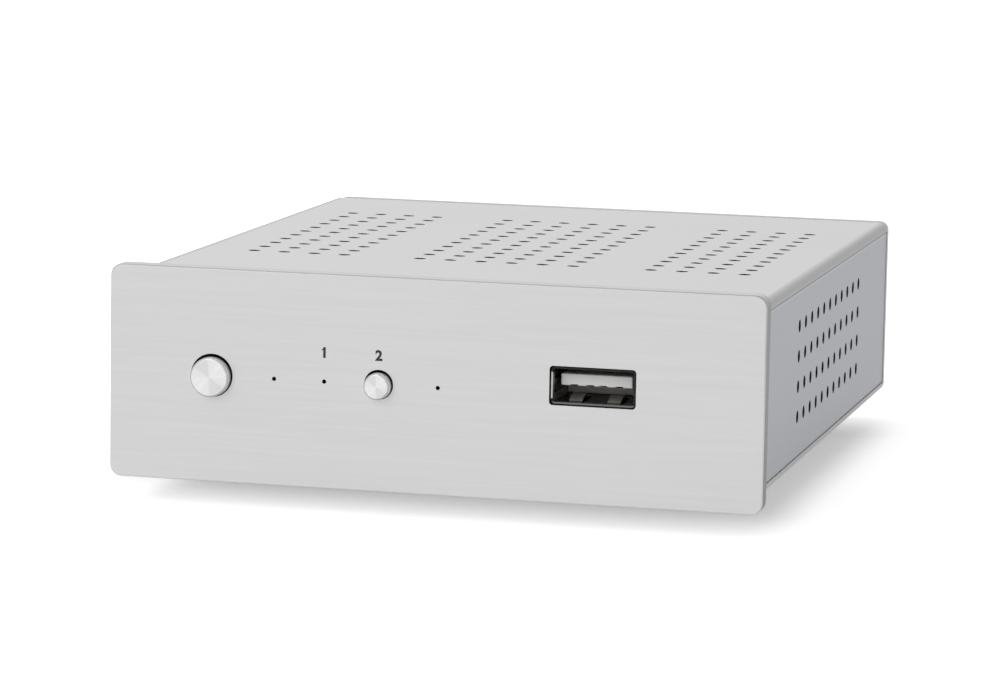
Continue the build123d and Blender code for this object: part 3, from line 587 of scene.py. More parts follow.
def layered(name, shade, level, roughness, layers, depth, strength, shade_in=None, **constants):
    """A finish of layers of noise, in shade by the share that shade_in gives.

    A layer holds its noise, its share in the colour's level and its share in the roughness. The first
    one makes the relief.
    """
    made = Finish(name, **constants)
    place = made.place()
    noises = [made.noise(place, *how) for how, _, _ in layers]
    for noise, (_, tone, gloss) in zip(noises, layers):
        level = level + noise * tone
        if gloss:
            roughness = roughness + noise * gloss
    if shade_in:
        level = level * (1 - shade_in(*made.parts(place)))
    return made.dress(shade, level, roughness, noises[0], depth, strength)


def brushed_aluminium(name, shade, low, high, bevel_width):
    """A plate brushed along X, with painted shade on its milled edges, which changes with height, and in its
    holes.
    """
    middle, half = (low.z + high.z) / 2, (high.z - low.z) / 2

    def shade_in(x, y, z):
        edges = y > low.y + SKIN
        back = y > high.y - SKIN
        holes = edges * (1 - back) * (abs(x) < high.x - INSET) * (abs(z - middle) < half - INSET)
        # painted shade on the milled edges: darker up the front bevel and along the top, dark side walls that
        # lighten near the top, a slightly darker back face
        crown = z.ramp(high.z - CORNER, high.z - 0.0001, 0.0, 1.0)
        foot = z.ramp(low.z + CORNER, low.z, 0.0, 1.0)
        upper = z.ramp(low.z + 0.012, high.z - 0.008, 0.0, 0.24)
        bevels = y < low.y + bevel_width * PAST
        walls = (1 - back) * (0.74 - crown * 0.64) + back * 0.12
        painted_edge_shade = bevels * (upper + crown * 0.22 + foot * 0.10) + (1 - bevels) * walls
        # painted shade: the edges by height, the walls of the holes nearly black
        return edges * painted_edge_shade * (1 - holes) + holes * 0.93

    fine = ((70.0, 70.0, 7000.0), 3.0, 0.6), 0.070, 0.10
    lines = ((35.0, 35.0, 1700.0),), 0.090, 0.05
    broad = ((9.0, 9.0, 22.0), 1.0), 0.040, 0
    return layered(name, shade, 0.900, 0.36, (fine, lines, broad), GRIT, 0.5, shade_in, metallic=0.55)


def satin_aluminium(name, shade, shade_in=None):
    """Aluminium blasted to a fine even grain and anodised."""
    grain, broad = ((4200.0, 2.0, 0.6), 0.034, 0.10), ((26.0,), 0.030, 0)
    return layered(name, shade, 0.968, 0.42, (grain, broad), GRIT, 0.35, shade_in, metallic=0.45)


def turned_aluminium(name, shade, centre, face, mouth):
    """A lathe-turned end: fine rings, a painted two-armed sheen, painted shade on its rounding and in its
    hole, and a painted highlight on its wall.
    """
    made = Finish(name, metallic=0.60)
    place = made.product(made.around(centre), (1.0, 0.0, 1.0))
    across, _, up = made.parts(place)
    # a painted sheen: two bright arms and fainter blades round the middle
    angle = across.work("ARCTAN2", up, across)
    painted_sheen_arms = angle.work("SINE", angle * 2.0 + radians(25))
    painted_sheen_blades = angle.work("SINE", angle * 7.0 + 1.0) * angle.work("SINE", angle * 3.0)
    along = {"W": made.span(place) * 9000.0, "Detail": 2.0}
    rings = made.node("TexNoise", {"noise_dimensions": "1D"}, along)
    depth = made.parts(made.place())[1]
    rounding = (depth > face + 0.00003) * (depth < centre[1])
    # painted shade on the rounding, a painted highlight on the wall, painted shade in the hole
    shade_in = rounding * 0.26 - (depth > centre[1]) * 0.30 + (depth > mouth) * 1.20
    level = (0.930 + rings * 0.07 + painted_sheen_arms * 0.085 + painted_sheen_blades * 0.045) * (1 - shade_in)
    return made.dress(shade, level, 0.32 + rings * 0.12, rings, GRIT, 0.6)


def plated_sheet(name, shade, roughness=0.30, rolling=(300.0, 3000.0, 3000.0), spots=260.0, shade_in=None):
    """Tin-plated sheet: soft rolling marks and small stains."""
    rolled, stains = ((rolling,), 0.12, 0), ((spots, 3.0, 0.6), 0.16, 0.16)
    return layered(name, shade, 0.86, roughness, (rolled, stains), GRIT, 0.4, shade_in, metallic=0.9)


def socket_sheet(name, shade, mouth, inward, floor, left, middle):
    """Plated sheet of a socket's shell, with painted shade: dark round its rim and in its depth, less on the
    spring fingers and the front of the floor, and none on a lit strip painted on the left wall.
    """

    def shade_in(x, y, z):
        depth = (y - mouth) * inward
        front = depth < 0.0010
        fingers = (z > floor + 0.00012) * (z < floor + 0.0012)
        # painted shade on the rim, lighter along its floor
        painted_rim_shade = (depth < 0.00007) * (0.95 - (z < floor) * 0.25)
        # painted shade in the depth, less on the floor near the mouth and on the spring fingers
        inner = (depth > 0.00007) * (0.85 - (z < floor + SKIN) * front * 0.26 - fingers * 0.62)
        # a painted lit strip near the mouth of the left wall, free of painted shade
        strip = (x < left + SKIN) * (abs(z - middle) < 0.0020) * front
        return (painted_rim_shade + inner) * (1 - strip)

    return plated_sheet(name, shade, 0.34, (3000.0, 300.0, 3000.0), 400.0, shade_in)


def turned_brass(name, shade):
    """Plated turned metal with fine marks round it."""
    marks, stains = (((400.0, 9000.0, 400.0),), 0.12, 0), ((500.0, 3.0), 0.12, 0.16)
    return layered(name, shade, 0.88, 0.20, (marks, stains), GRIT, 0.3, metallic=1.0)


def moulded(name, shade, roughness=0.39):
    """Moulded plastic with a fine spark-eroded texture."""
    grain, flow = ((5200.0, 2.0, 0.6), 0.06, 0.12), ((140.0,), 0.08, 0)
    return layered(name, shade, 0.93, roughness, (grain, flow), 2 * GRIT, 0.4)


def circuit_board(name, shade):
    """Solder resist over copper tracks, with small tinned pads."""
    made = Finish(name)
    place = made.place()
    black, white = (0, 0, 0, 1), (1, 1, 1, 1)
    lines = {"offset": 0.37, "squash": 1.6, "squash_frequency": 3}
    bricks = {"Scale": 260.0, "Mortar Size": 0.05, "Color1": black, "Color2": black, "Mortar": white}
    runs = made.node("TexBrick", lines, {"Vector": place, **bricks}, "Fac")
    pads = made.node("TexVoronoi", {"feature": "DISTANCE_TO_EDGE"}, {"Vector": place, "Scale": 420.0})
    tinned = (pads > 0.42) * (made.noise(place, 90.0) > 0.52)
    copper = made.blend(runs, shade, tuple(min(1.0, value * 1.9) for value in shade))
    tin = made.blend(tinned, copper, (0.55, 0.55, 0.53))
    made.feed(base_color=tin, roughness=0.38 - tinned * 0.12, metallic=tinned * 0.8)
    return made.relief(runs, 3 * GRIT, 0.5)


def wrapped_can(name, shade):
    """The drawn can of a capacitor, with its grain running up."""
    grain = ((5000.0, 5000.0, 250.0),), 0.18, 0.14
    return layered(name, shade, 0.90, 0.28, (grain,), GRIT, 0.4, metallic=0.9)


def rubber(name, shade):
    """Matt rubber with a dusty bloom."""
    grain, bloom = ((3000.0, 3.0, 0.6), 0.25, 0), ((220.0,), 0.35, 0.15)
    return layered(name, shade, 0.80, 0.70, (grain, bloom), 4 * GRIT, 0.5, specular_ior_level=0.35)


def printed_ink(name, shade):
    """Screen-printed ink, slightly uneven."""
    return layered(name, shade, 0.85, 0.50, (((6000.0,), 0.30, 0.15),), GRIT, 0.4)


def lamp_body(name, shade):
    """The clear body of a lamp that is off."""
    cloud = (900.0,), 0.18, 0.12
    return layered(name, shade, 0.90, 0.18, (cloud,), 2 * GRIT, 0.2, transmission_weight=0.25, ior=1.5)


# Finishes that need nothing of their piece: maker, colour or its setting, and what else the maker takes
PLAIN = {
    "satin_rear": (satin_aluminium, "covers"),
    "inner_satin": (satin_aluminium, (0.42, 0.43, 0.45)),
    "dark_anodised": (satin_aluminium, (0.035, 0.036, 0.040)),
    "plated_sheet": (plated_sheet, "steel"),
    "zinc_screws": (plated_sheet, (0.46, 0.46, 0.47), 0.26),
    "plated_gold": (turned_brass, "gold"),
    # plated gold darkened as painted shade, for the contacts deep in the USB sockets
    "dull_gold": (turned_brass, (0.30, 0.22, 0.10)),
    "turned_brass": (turned_brass, (0.60, 0.45, 0.20)),
    "pale_moulding": (moulded, "pale_plastic"),
    "dark_moulding": (moulded, "dark_plastic", 0.34),
    "solder_resist": (circuit_board, "board"),
    "drawn_can": (wrapped_can, (0.50, 0.50, 0.52)),
    "black_rubber": (rubber, "rubber"),
    "printed_ink": (printed_ink, "ink"),
    "clear_lamp": (lamp_body, (0.62, 0.62, 0.58)),
}


def finish(name, maker, *how):
    """A finish by its name, made the first time it is asked for."""
    return bpy.data.materials.get(name) or maker(name, *how)


def shades():
    """The colours that a user may change."""
    return bpy.context.scene.streamer_colours


def plain_finish(name):
    """A finish from the table."""
    maker, shade, *how = PLAIN[name]
    return finish(name, maker, getattr(shades(), shade) if isinstance(shade, str) else shade, *how)


def cover_finish(node):
    """The covers' finish: their long edges darkened towards the sides with painted shade, a painted light
    line along the top cover's lower edge, and its vents in painted shade.
    """
    low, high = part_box(node)
    sizes = bpy.context.scene.streamer_case

    def shade_in(x, y, z):
        start = high.x - sizes.cover_edge
        # painted shade, darker towards the long edges
        edge = (abs(x) > start) * (abs(x) - start) / sizes.cover_edge
        if node != "top_cover":
            return edge * 0.30
        # a painted light line: the lowest strip of the top cover's edges is spared the painted shade
        seam = z < low.z + 0.00025
        hollow = (z < high.z - sizes.vent_rim * 0.80) * (abs(x) < start - INSET) * (abs(y) < high.y - INSET)
        return edge * (1 - seam) * 0.42 + hollow * 0.97

    return finish("satin_" + node, satin_aluminium, shades().covers, shade_in)


def side_finish():
    """The side walls' finish: their vents in painted shade, and under the top cover a line of painted shade
    with a painted light line below it.
    """
    low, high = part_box("right_side_rail")
    middle = (low + high) / 2
    half = (high - low) / 2
    proud = bpy.context.scene.streamer_case.side_proud

    def shade_in(x, y, z):
        inside = (abs(y - middle.y) < half.y - INSET) * (abs(z - middle.z) < half.z - INSET)
        hollow = (abs(x) < high.x + proud - 2 * SKIN) * inside
        # painted shade in a line under the top cover, with a painted light line just below it
        seam = (z > high.z - 0.00032) * 0.72 - (z > high.z - 0.00065) * 0.14
        return hollow * 0.95 + (1 - hollow) * seam

    return finish("satin_sides", satin_aluminium, shades().sides, shade_in)


# Pieces


def cut_out(node, gap, corner, segments):
    """The opening for a socket in a panel's drawing, with a gap all round."""
    low, high, middle = box(node)
    width, height = high.x - low.x + 2 * gap, high.z - low.z + 2 * gap
    return rectangle, middle.x, middle.z, width, height, corner, segments


def panel(name, node, look, holes, corner, segments, face, bevels):
    """A panel with rounded corners and holes, bevelled round its front face, 0, or its back face, -1."""
    low, high, middle = box(node)
    piece = begin(name, size=1)
    rectangle(0, middle.z, high.x - low.x, high.z - low.z, corner, segments, added=False)
    for outline, *where in holes:
        outline(*where)
    cut_sheet(high.y - low.y)
    shows = rim(face * (high.y - low.y))
    half_x, half_z = (high.x - low.x) / 2 - INSET * MM, (high.z - low.z) / 2 - INSET * MM

    def outside(edge):
        return any(abs(vert.co.x) > half_x or abs(vert.co.y - middle.z) > half_z for vert in edge.verts)

    bevel(lambda edge: shows(edge) and outside(edge), bevels[0], 3)
    bevel(lambda edge: shows(edge) and not outside(edge), bevels[1], 1)
    fit(piece, "case", look, node, turn=TO_FRONT, place=(0, low.y, 0))


class STREAMER_OT_front_panel(bpy.types.Operator):
    """Cut the brushed front panel with its holes and fine bevels"""

    bl_idname = "streamer.front_panel"
    bl_label = "Front panel"

    def execute(self, context):
        sizes = settings("front")
        power, source = box("power_button")[2], box("source_button")[2]
        holes = [
            (ring, power.x, power.z, sizes.power_radius + sizes.power_gap, 72),
            (ring, source.x, power.z, sizes.source_radius + sizes.source_gap, 60),
            *((ring, box(node)[2].x, power.z, sizes.lamp_hole_radius, 24) for node in LAMPS),
            cut_out("front_usb_shell", sizes.usb_gap, sizes.usb_corner, 5),
        ]
        how = shades().front, *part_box("front_panel"), sizes.edge_bevel / MM
        look = finish("brushed_front", brushed_aluminium, *how)
        bevels = sizes.edge_bevel, sizes.hole_bevel
        panel("brushed_front_panel", "front_panel", look, holes, sizes.corner_radius, 10, 0, bevels)
        return {"FINISHED"}


def flag(sizes):
    """The slanted stroke at the top of the number one."""
    top, width = sizes.number_height, sizes.number_height * 0.30
    stroke = [(0, top), (-width, top * 0.80), (-width, top * 0.68), (0, top * 0.86)]
    half = sizes.ink_thickness / 2
    return bar("flag", [(x, y, -half) for x, y in stroke], (0, 0, 2 * half))


class STREAMER_OT_printed_numbers(bpy.types.Operator):
    """Print the plain numbers of the two inputs on the front panel"""

    bl_idname = "streamer.printed_numbers"
    bl_label = "Printed numbers"

    def execute(self, context):
        sizes = settings("front")
        height = box("power_button")[2].z + sizes.number_rise
        front_y = box("front_panel")[0].y - sizes.ink_thickness / 2
        for name, words, below in (
            ("printed_number_1", sizes.first_number, "input_1_led"),
            ("printed_number_2", sizes.second_number, "source_button"),
        ):
            clear()
            bpy.ops.object.text_add(radius=1.0)
            label = context.object
            label.name = name
            label.data.body = words
            label.data.align_x = "CENTER"
            label.data.size = sizes.number_height / DIGIT_HEIGHT
            label.data.extrude = sizes.ink_thickness / 2
            label.data.offset = sizes.number_weight
            label.data.resolution_u = 6
            bpy.ops.object.convert(target="MESH")
            label = context.object
            label.data.name = name
            bpy.ops.object.mode_set(mode="EDIT")
            heal()
            close(label)
            if words == "1":
                join([label, flag(sizes)])
            place = (box(below)[2].x, front_y, height)
            ink = plain_finish("printed_ink")
            fit(label, "case", ink, turn=TO_FRONT, place=place, slot="front_panel", smooth=20)
        return {"FINISHED"}


def top_vents(sizes, front_y):
    """Centres of the vent holes in the top: groups of four, six and four columns."""
    inner = [index - 2.5 for index in range(6)]
    outer = [inner[-1] + 2.5 + index for index in range(4)]
    columns = [-place for place in outer] + inner + outer
    rows = [front_y + sizes.top_vent_start + index * sizes.vent_along for index in range(sizes.rows_along)]
    return [(column * sizes.vent_across, row) for column in columns for row in rows]


def cover(name, node, sizes, vents):
    """A cover with rounded long edges, a dovetail rib for each rail and, if asked, vents."""
    low, high, middle = box(node)
    rail_low, rail_high, _ = box("right_side_rail")
    top = node == "top_cover"
    side, thickness = (1, high.z - rail_high.z) if top else (-1, rail_low.z - low.z)
    width, inset = high.x - low.x, INSET * MM
    piece = begin(name, size=1)
    rectangle(0, side * middle.y, width, high.y - low.y, added=False)
    for x, y in vents:
        ring(x, y, sizes.vent_radius, VENT_SIDES)
    cut_sheet(thickness)
    outer = rim(0)

    def in_vent(edge):
        return outer(edge) and all(abs(vert.co.x) < width / 2 - 2 * inset for vert in edge.verts)

    def on_side(edge):
        return outer(edge) and all(near(abs(vert.co.x), width / 2) for vert in edge.verts)

    if vents:
        bevel(in_vent, sizes.vent_rim, 1)
    bevel(on_side, sizes.cover_edge, 8)
    close(piece)
    start, end = side * box("inner_front_plate")[1].y, side * high.y
    half, wide = sizes.neck / 2, sizes.neck / 2 + sizes.flare
    root, tip = -thickness + 0.01, -thickness - sizes.rib_height
    ribs = []
    for sign in (-1, 1):
        x = sign * (rail_high.x - sizes.side_wall - sizes.boss_width / 2)
        corners = (x - half, root), (x + half, root), (x + wide, tip), (x - wide, tip)
        ribs.append(bar("rib", [(across, start, up) for across, up in corners], (0, end - start, 0)))
    turn = (0, 0, 0) if top else (pi, 0, 0)
    place = (0, 0, high.z if top else low.z)
    fit(join([piece, *ribs]), "case", cover_finish(node), node, turn=turn, place=place)


class STREAMER_OT_covers(bpy.types.Operator):
    """Make the vented top cover and the plain bottom cover"""

    bl_idname = "streamer.covers"
    bl_label = "Covers"

    def execute(self, context):
        sizes = settings("case")
        vents = top_vents(sizes, box("front_panel")[0].y)
        cover("vented_top_cover", "top_cover", sizes, vents)
        cover("plain_bottom_cover", "bottom_cover", sizes, [])
        return {"FINISHED"}


def boss_section(sizes):
    """Section of a screw boss: inwards from the side wall and away from the cover."""
    middle = sizes.boss_width / 2
    neck = sizes.neck / 2 + sizes.rib_gap
    foot = neck + sizes.flare
    groove = sizes.rib_height + sizes.rib_gap
    rise = groove + sizes.channel_wall + sizes.channel_radius
    slot = sizes.channel_slot / 2
    opening = asin(slot / sizes.channel_radius)
    points = [(0, 0), (middle - neck, 0), (middle - foot, groove), (middle + foot, groove)]
    points += [(middle + neck, 0), (sizes.boss_width, 0), (sizes.boss_width, rise - slot)]
    turns = 14
    for index in range(turns + 1):
        angle = -opening - index * (tau - 2 * opening) / turns
        points.append((middle + sizes.channel_radius * cos(angle), rise + sizes.channel_radius * sin(angle)))
    points += [(sizes.boss_width, rise + slot), (sizes.boss_width, sizes.boss_height), (0, sizes.boss_height)]
    return points


def side_rail(name, node, sizes, sign):
    """A side wall with its vents, its two screw bosses and the lip over the main board."""
    low, high, middle = box(node)
    outer_x = (high.x if sign > 0 else -low.x) + sizes.side_proud
    inner_x = outer_x - sizes.side_proud - sizes.side_wall
    front_low, _, front_middle = box("front_panel")
    length_y, height, inset = high.y - low.y, high.z - low.z, INSET * MM
    wall = begin(name, size=1)
    rectangle(sign * middle.y, middle.z, length_y, height, added=False)
    for row in range(sizes.rows_up):
        z = front_middle.z + (row - (sizes.rows_up - 1) / 2) * sizes.vent_up
        for index in range(sizes.rows_along):
            y = front_low.y + sizes.side_vent_start + index * sizes.side_vent_along
            ring(sign * y, z, sizes.vent_radius, VENT_SIDES)
    cut_sheet(sizes.side_wall + sizes.side_proud)
    outer = rim(0)

    def inside(vert):
        return low.z + inset < vert.co.y < high.z - inset

    def in_wall(vert):
        return inside(vert) and abs(vert.co.x - sign * middle.y) < length_y / 2 - inset

    bevel(lambda edge: outer(edge) and all(in_wall(vert) for vert in edge.verts), sizes.vent_rim, 1)
    bevel(lambda edge: outer(edge) and not any(inside(vert) for vert in edge.verts), sizes.seam_bevel, 1)
    settle(wall, (pi / 2, 0, sign * pi / 2), (sign * outer_x, 0, 0))
    start = box("inner_front_plate")[1].y
    along = (0, high.y - start, 0)
    bars = []
    for root, direction in ((low.z, 1), (high.z, -1)):
        section = [(sign * (inner_x - u), start, root + direction * v) for u, v in boss_section(sizes)]
        bars.append(bar("boss", section, along))
    lip = box("main_board")[1].z + sizes.lip_gap
    top, deep = lip + sizes.lip_height, sizes.lip_depth
    corners = (0, lip), (deep, lip), (deep, top), (0, top)
    bars.append(bar("lip", [(sign * (inner_x - u), start, z) for u, z in corners], along))
    fit(join([wall, *bars]), "case", side_finish(), node)


class STREAMER_OT_side_rails(bpy.types.Operator):
    """Make the two vented side rails with their bosses"""

    bl_idname = "streamer.side_rails"
    bl_label = "Side rails"

    def execute(self, context):
        sizes = settings("case")
        side_rail("vented_right_side", "right_side_rail", sizes, 1)
        side_rail("vented_left_side", "left_side_rail", sizes, -1)
        return {"FINISHED"}


def screw_places(radius):
    """Where the four screws of the rear panel stand, as (x, z), from the radius of their heads."""
    low, high, _ = box("rear_panel_screws")
    return [(x, z) for x in (low.x + radius, high.x - radius) for z in (low.z + radius, high.z - radius)]


class STREAMER_OT_rear_panel(bpy.types.Operator):
    """Cut the rear panel with an opening for each socket and screw"""

    bl_idname = "streamer.rear_panel"
    bl_label = "Rear panel"

    def execute(self, context):
        sizes = settings("case")
        sockets = settings("sockets")
        nut = box("aerial_nut")[2]
        holes = [
            *(cut_out(node, sizes.socket_gap, 0.25, 3) for node in REAR_SOCKETS),
            (ring, nut.x, nut.z, sockets.thread_radius + 0.2, 48),
            *((ring, x, z, sockets.screw_shank + 0.25, 24) for x, z in screw_places(sockets.screw_head)),
        ]
        look, bevels = plain_finish("satin_rear"), (sizes.rear_bevel, 0.1)
        panel("satin_rear_panel", "rear_panel", look, holes, sizes.cover_edge, 8, -1, bevels)
        return {"FINISHED"}


class STREAMER_OT_push_buttons(bpy.types.Operator):
    """Turn the two push buttons"""

    bl_idname = "streamer.push_buttons"
    bl_label = "Push buttons"

    def execute(self, context):
        sizes = settings("front")
        edge, stem, mouth = sizes.button_bevel, sizes.stem_radius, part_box("front_panel")[0].y
        for name, radius in (("power", sizes.power_radius), ("source", sizes.source_radius)):
            low, high, middle = box(f"{name}_button")
            place = (middle.x, low.y, middle.z - sizes.button_sag)
            flange, end = radius + sizes.flange_margin, low.y - high.y
            back = low.y - (box("inner_front_plate")[1].y + 0.05)
            root = back - sizes.flange_thickness
            steps = [(0, 0), (0, radius - edge), (-0.04, radius - edge * 0.7)]
            steps += [(-edge * 0.85, radius - 0.03), (-edge, radius), (back, radius)]
            steps += [(back, flange - 0.1), (back - 0.1, flange), (root + 0.1, flange)]
            steps += [(root, flange - 0.1), (root, stem), (end, stem), (end, 0)]
            piece = turned(f"turned_{name}_button", steps, 96)
            centre = (place[0] / MM, (low.y + edge * PAST) / MM, place[2] / MM)
            where = shades().buttons, centre, low.y / MM, mouth
            look = finish(f"turned_{name}", turned_aluminium, *where)
            fit(piece, f"{name}_control", look, f"{name}_button", turn=TO_FRONT, place=place, smooth=20)
        return {"FINISHED"}


class STREAMER_OT_lamps(bpy.types.Operator):
    """Make the three round lamps behind the pin holes"""

    bl_idname = "streamer.lamps"
    bl_label = "Lamps"

    def execute(self, context):
        radius, dome, rim_depth = settings("front").lamp_radius, 0.9, 0.8
        narrow = radius * 0.9
        for node in LAMPS:
            low, high, middle = box(node)
            depth = high.y - low.y
            angles = [step * pi / 16 for step in range(9)]
            steps = [(-dome * (1 - cos(angle)), narrow * sin(angle)) for angle in angles]
            steps += [(rim_depth - depth, narrow), (rim_depth - depth, radius), (-depth, radius), (-depth, 0)]
            piece, place = turned(f"domed_{node}", steps, 32), (middle.x, low.y, middle.z)
            fit(piece, "case", plain_finish("clear_lamp"), node, turn=TO_FRONT, place=place)
        return {"FINISHED"}


# a spring finger's bow: depth from its start in millimetres, and share of its lift
FINGER_BOW = ((0.5, 0.25), (1.6, 0.72), (2.7, 1.0), (3.4, 0.97), (4.6, 0.62), (5.8, 0.18))


def spring_finger(start, wall, lift, width, sheet):
    """A spring finger bowed up from the wall of a socket: it leans in from the mouth, then falls away."""
    bow = [(start, wall - 0.05)]
    bow += [(start + depth, wall + lift * share) for depth, share in FINGER_BOW]
    bow += [(start + 6.6, wall - 0.02)]
    under = [(y + 0.04, z - sheet) for y, z in reversed(bow)]
    return bar("finger", [(-width / 2, y, z) for y, z in bow + under], (width, 0, 0))


def folded_shell(name, sizes, width, depth, height):
    """The folded shell of a USB socket, with windows for its spring fingers."""
    sheet = sizes.sheet
    shell = begin(name, bpy.ops.mesh.primitive_cube_add, size=1)
    bpy.ops.transform.resize(value=(width, depth, height), center_override=(0, 0, 0))
    bpy.ops.transform.translate(value=(0, depth / 2, 0))

    def lengthwise(edge):
        start, end = (vert.co for vert in edge.verts)
        return near(start.x, end.x) and near(start.z, end.z)

    bevel(lengthwise, sizes.shell_corner, 5)
    pick("faces", lambda face: abs(face.normal.y) > 0.9)
    bpy.ops.mesh.inset(thickness=sheet, use_even_offset=True)
    bpy.ops.mesh.delete(type="FACE")
    pick("edges", lambda edge: len(edge.link_faces) == 1)
    bpy.ops.mesh.bridge_edge_loops()
    heal()
    bevel(rim(0, 1), 0.06, 2)
    close(shell)
    start, floor, side = 0.9, -height / 2 + sheet, width / 2 - sheet  # of the fingers, of the inner faces
    side_lift, side_width, side_drop = 0.42, 1.9, -0.1
    fingers = []
    for x in (-sizes.finger_place, sizes.finger_place):
        low, high = (x - 1.3, start - 0.25, -height / 2 - 1), (x + 1.3, start + 6.2, floor + 0.02)
        cut(shell, block("window", low, high))
        finger = spring_finger(start, floor, sizes.finger_lift, sizes.finger_width, sheet)
        finger.location = (x, 0, 0)
        fingers.append(finger)
    for sign in (-1, 1):
        low_x, high_x = sorted((sign * (width / 2 + 1), sign * (side - 0.02)))
        cut(shell, block("window", (low_x, 1.0, -1.35), (high_x, 7.4, 1.15)))
        finger = spring_finger(start + 0.3, -side, side_lift, side_width, sheet)
        finger.rotation_euler = (0, -sign * pi / 2, 0)
        finger.location = (0, 0, side_drop)
        fingers.append(finger)
    return join([shell, *fingers])


def moulded_tongue(name, sizes, width, depth, height):
    """The tongue of a USB socket on its block, with a groove under it for each contact."""
    half, mouth = sizes.tongue_width / 2, sizes.tongue_setback
    under = sizes.tongue_rise - sizes.tongue_thickness / 2
    over = sizes.tongue_rise + sizes.tongue_thickness / 2
    tongue = block(name, (-half, mouth, under), (half, depth - 0.5, over), 0.2, 3)
    wide, back = sizes.contact_width / 2 + 0.1, depth - sizes.block_depth
    for x in CONTACTS:
        low, high = (x - wide, mouth - 1, under - 1), (x + wide, back - 0.3, under + sizes.groove_depth)
        cut(tongue, block("groove", low, high))
    side, top = width / 2 - sizes.sheet - 0.05, height / 2 - sizes.sheet - 0.05
    return join([tongue, block("base", (-side, back, -top), (side, depth, top), 0.3)])


def contact_strips(name, sizes):
    """The contacts of a USB socket: flat strips whose ends dip into the grooves."""
    top = sizes.tongue_rise - sizes.tongue_thickness / 2 + sizes.groove_depth - 0.02
    line = [(3.3, top), (3.7, top - 0.12), (4.8, top - 0.40), (5.5, top - 0.34), (9.5, top - 0.05)]
    back = [(y, z - 0.15) for y, z in reversed(line[1:])] + [(3.3, top - 0.06)]
    width = sizes.contact_width
    sections = [[(x - width / 2, y, z) for y, z in line + back] for x in CONTACTS]
    strips = join([bar("strip", section, (width, 0, 0)) for section in sections])
    strips.name = name
    return strips


def usb_socket(prefix, rear):
    """A USB-A socket, drawn with its mouth at the origin and its depth along Y."""
    sizes = settings("sockets")
    low, high, middle = box(f"{prefix}_shell")
    size = high.x - low.x, high.y - low.y, high.z - low.z
    mouth, inward = (high.y, -1.0) if rear else (low.y, 1.0)
    turn, place = (0, 0, pi if rear else 0), (middle.x, mouth, middle.z)
    shell = folded_shell(f"{prefix}_folded_shell", sizes, *size)
    tongue = moulded_tongue(f"{prefix}_moulded_tongue", sizes, *size)
    strips = contact_strips(f"{prefix}_contact_strips", sizes)
    where = mouth / MM, inward, (low.z + sizes.sheet) / MM, (low.x + sizes.sheet) / MM, middle.z / MM
    sheet = "rear_socket_sheet" if rear else "front_socket_sheet"
    steel = finish(sheet, socket_sheet, shades().steel, *where)
    fit(shell, "case", steel, f"{prefix}_shell", turn=turn, place=place)
    fit(tongue, "case", plain_finish("pale_moulding"), f"{prefix}_insulator", turn=turn, place=place)
    fit(strips, "case", plain_finish("dull_gold"), f"{prefix}_contacts", turn=turn, place=place)


class STREAMER_OT_usb_sockets(bpy.types.Operator):
    """Make the front USB socket and the two at the rear"""

    bl_idname = "streamer.usb_sockets"
    bl_label = "USB sockets"

    def execute(self, context):
        usb_socket("front_usb", False)
        usb_socket("rear_usb_1", True)
        usb_socket("rear_usb_2", True)
        return {"FINISHED"}


class STREAMER_OT_rear_sockets(bpy.types.Operator):
    """Finish the network socket, the computer input and the power inlet"""

    bl_idname = "streamer.rear_sockets"
    bl_label = "Rear sockets"

    def execute(self, context):
        fit_softened(
            ("network_socket_shield", "network_shield", 0.08, "plated_sheet"),
            ("network_socket_body", "network_body", 0.12, "dark_moulding"),
            ("network_socket_contacts", "network_contacts", 0.04, "plated_gold"),
            ("pc_socket_shell", "computer_shell", 0.1, "plated_sheet"),
            ("pc_socket_insulator", "computer_insulator", 0.12, "pale_moulding"),
            ("pc_socket_contacts", "computer_contacts", 0.03, "plated_gold"),
            ("dc_inlet_body", "power_inlet_body", 0.15, "dark_moulding"),
        )
        low, high, middle = box("dc_inlet_pin")
        radius, depth = (high.x - low.x) / 2, high.y - low.y
        steps = [(0, 0), (0, radius * 0.45), (-0.35, radius * 0.9), (-0.6, radius)]
        steps += [(-depth, radius), (-depth, 0)]
        pin, place = turned("power_inlet_pin", steps, 32), (middle.x, high.y, middle.z)
        fit(pin, "case", plain_finish("plated_sheet"), "dc_inlet_pin", turn=TO_REAR, place=place)
        return {"FINISHED"}


def aerial_barrel(sizes, high, panel_y):
    """The threaded barrel, from its mouth at the origin to just inside the panel."""
    outer, root, pitch = sizes.thread_radius, sizes.thread_radius - sizes.thread_depth, sizes.thread_pitch
    length_out = high.y - panel_y
    bore, bore_end = sizes.aerial_bore, -6.5
    steps = [(bore_end, 0), (bore_end, bore), (0, bore), (0, root)]
    level = -0.3
    while level - pitch > -length_out + 0.3:
        steps += [(level, outer), (level - 0.1, outer)]
        steps += [(level - pitch * 0.5, root), (level - pitch * 0.62, root)]
        level -= pitch
    steps += [(level, outer), (-length_out - 0.3, outer), (-length_out - 0.3, 0)]
    return turned("aerial_barrel", steps, 48)


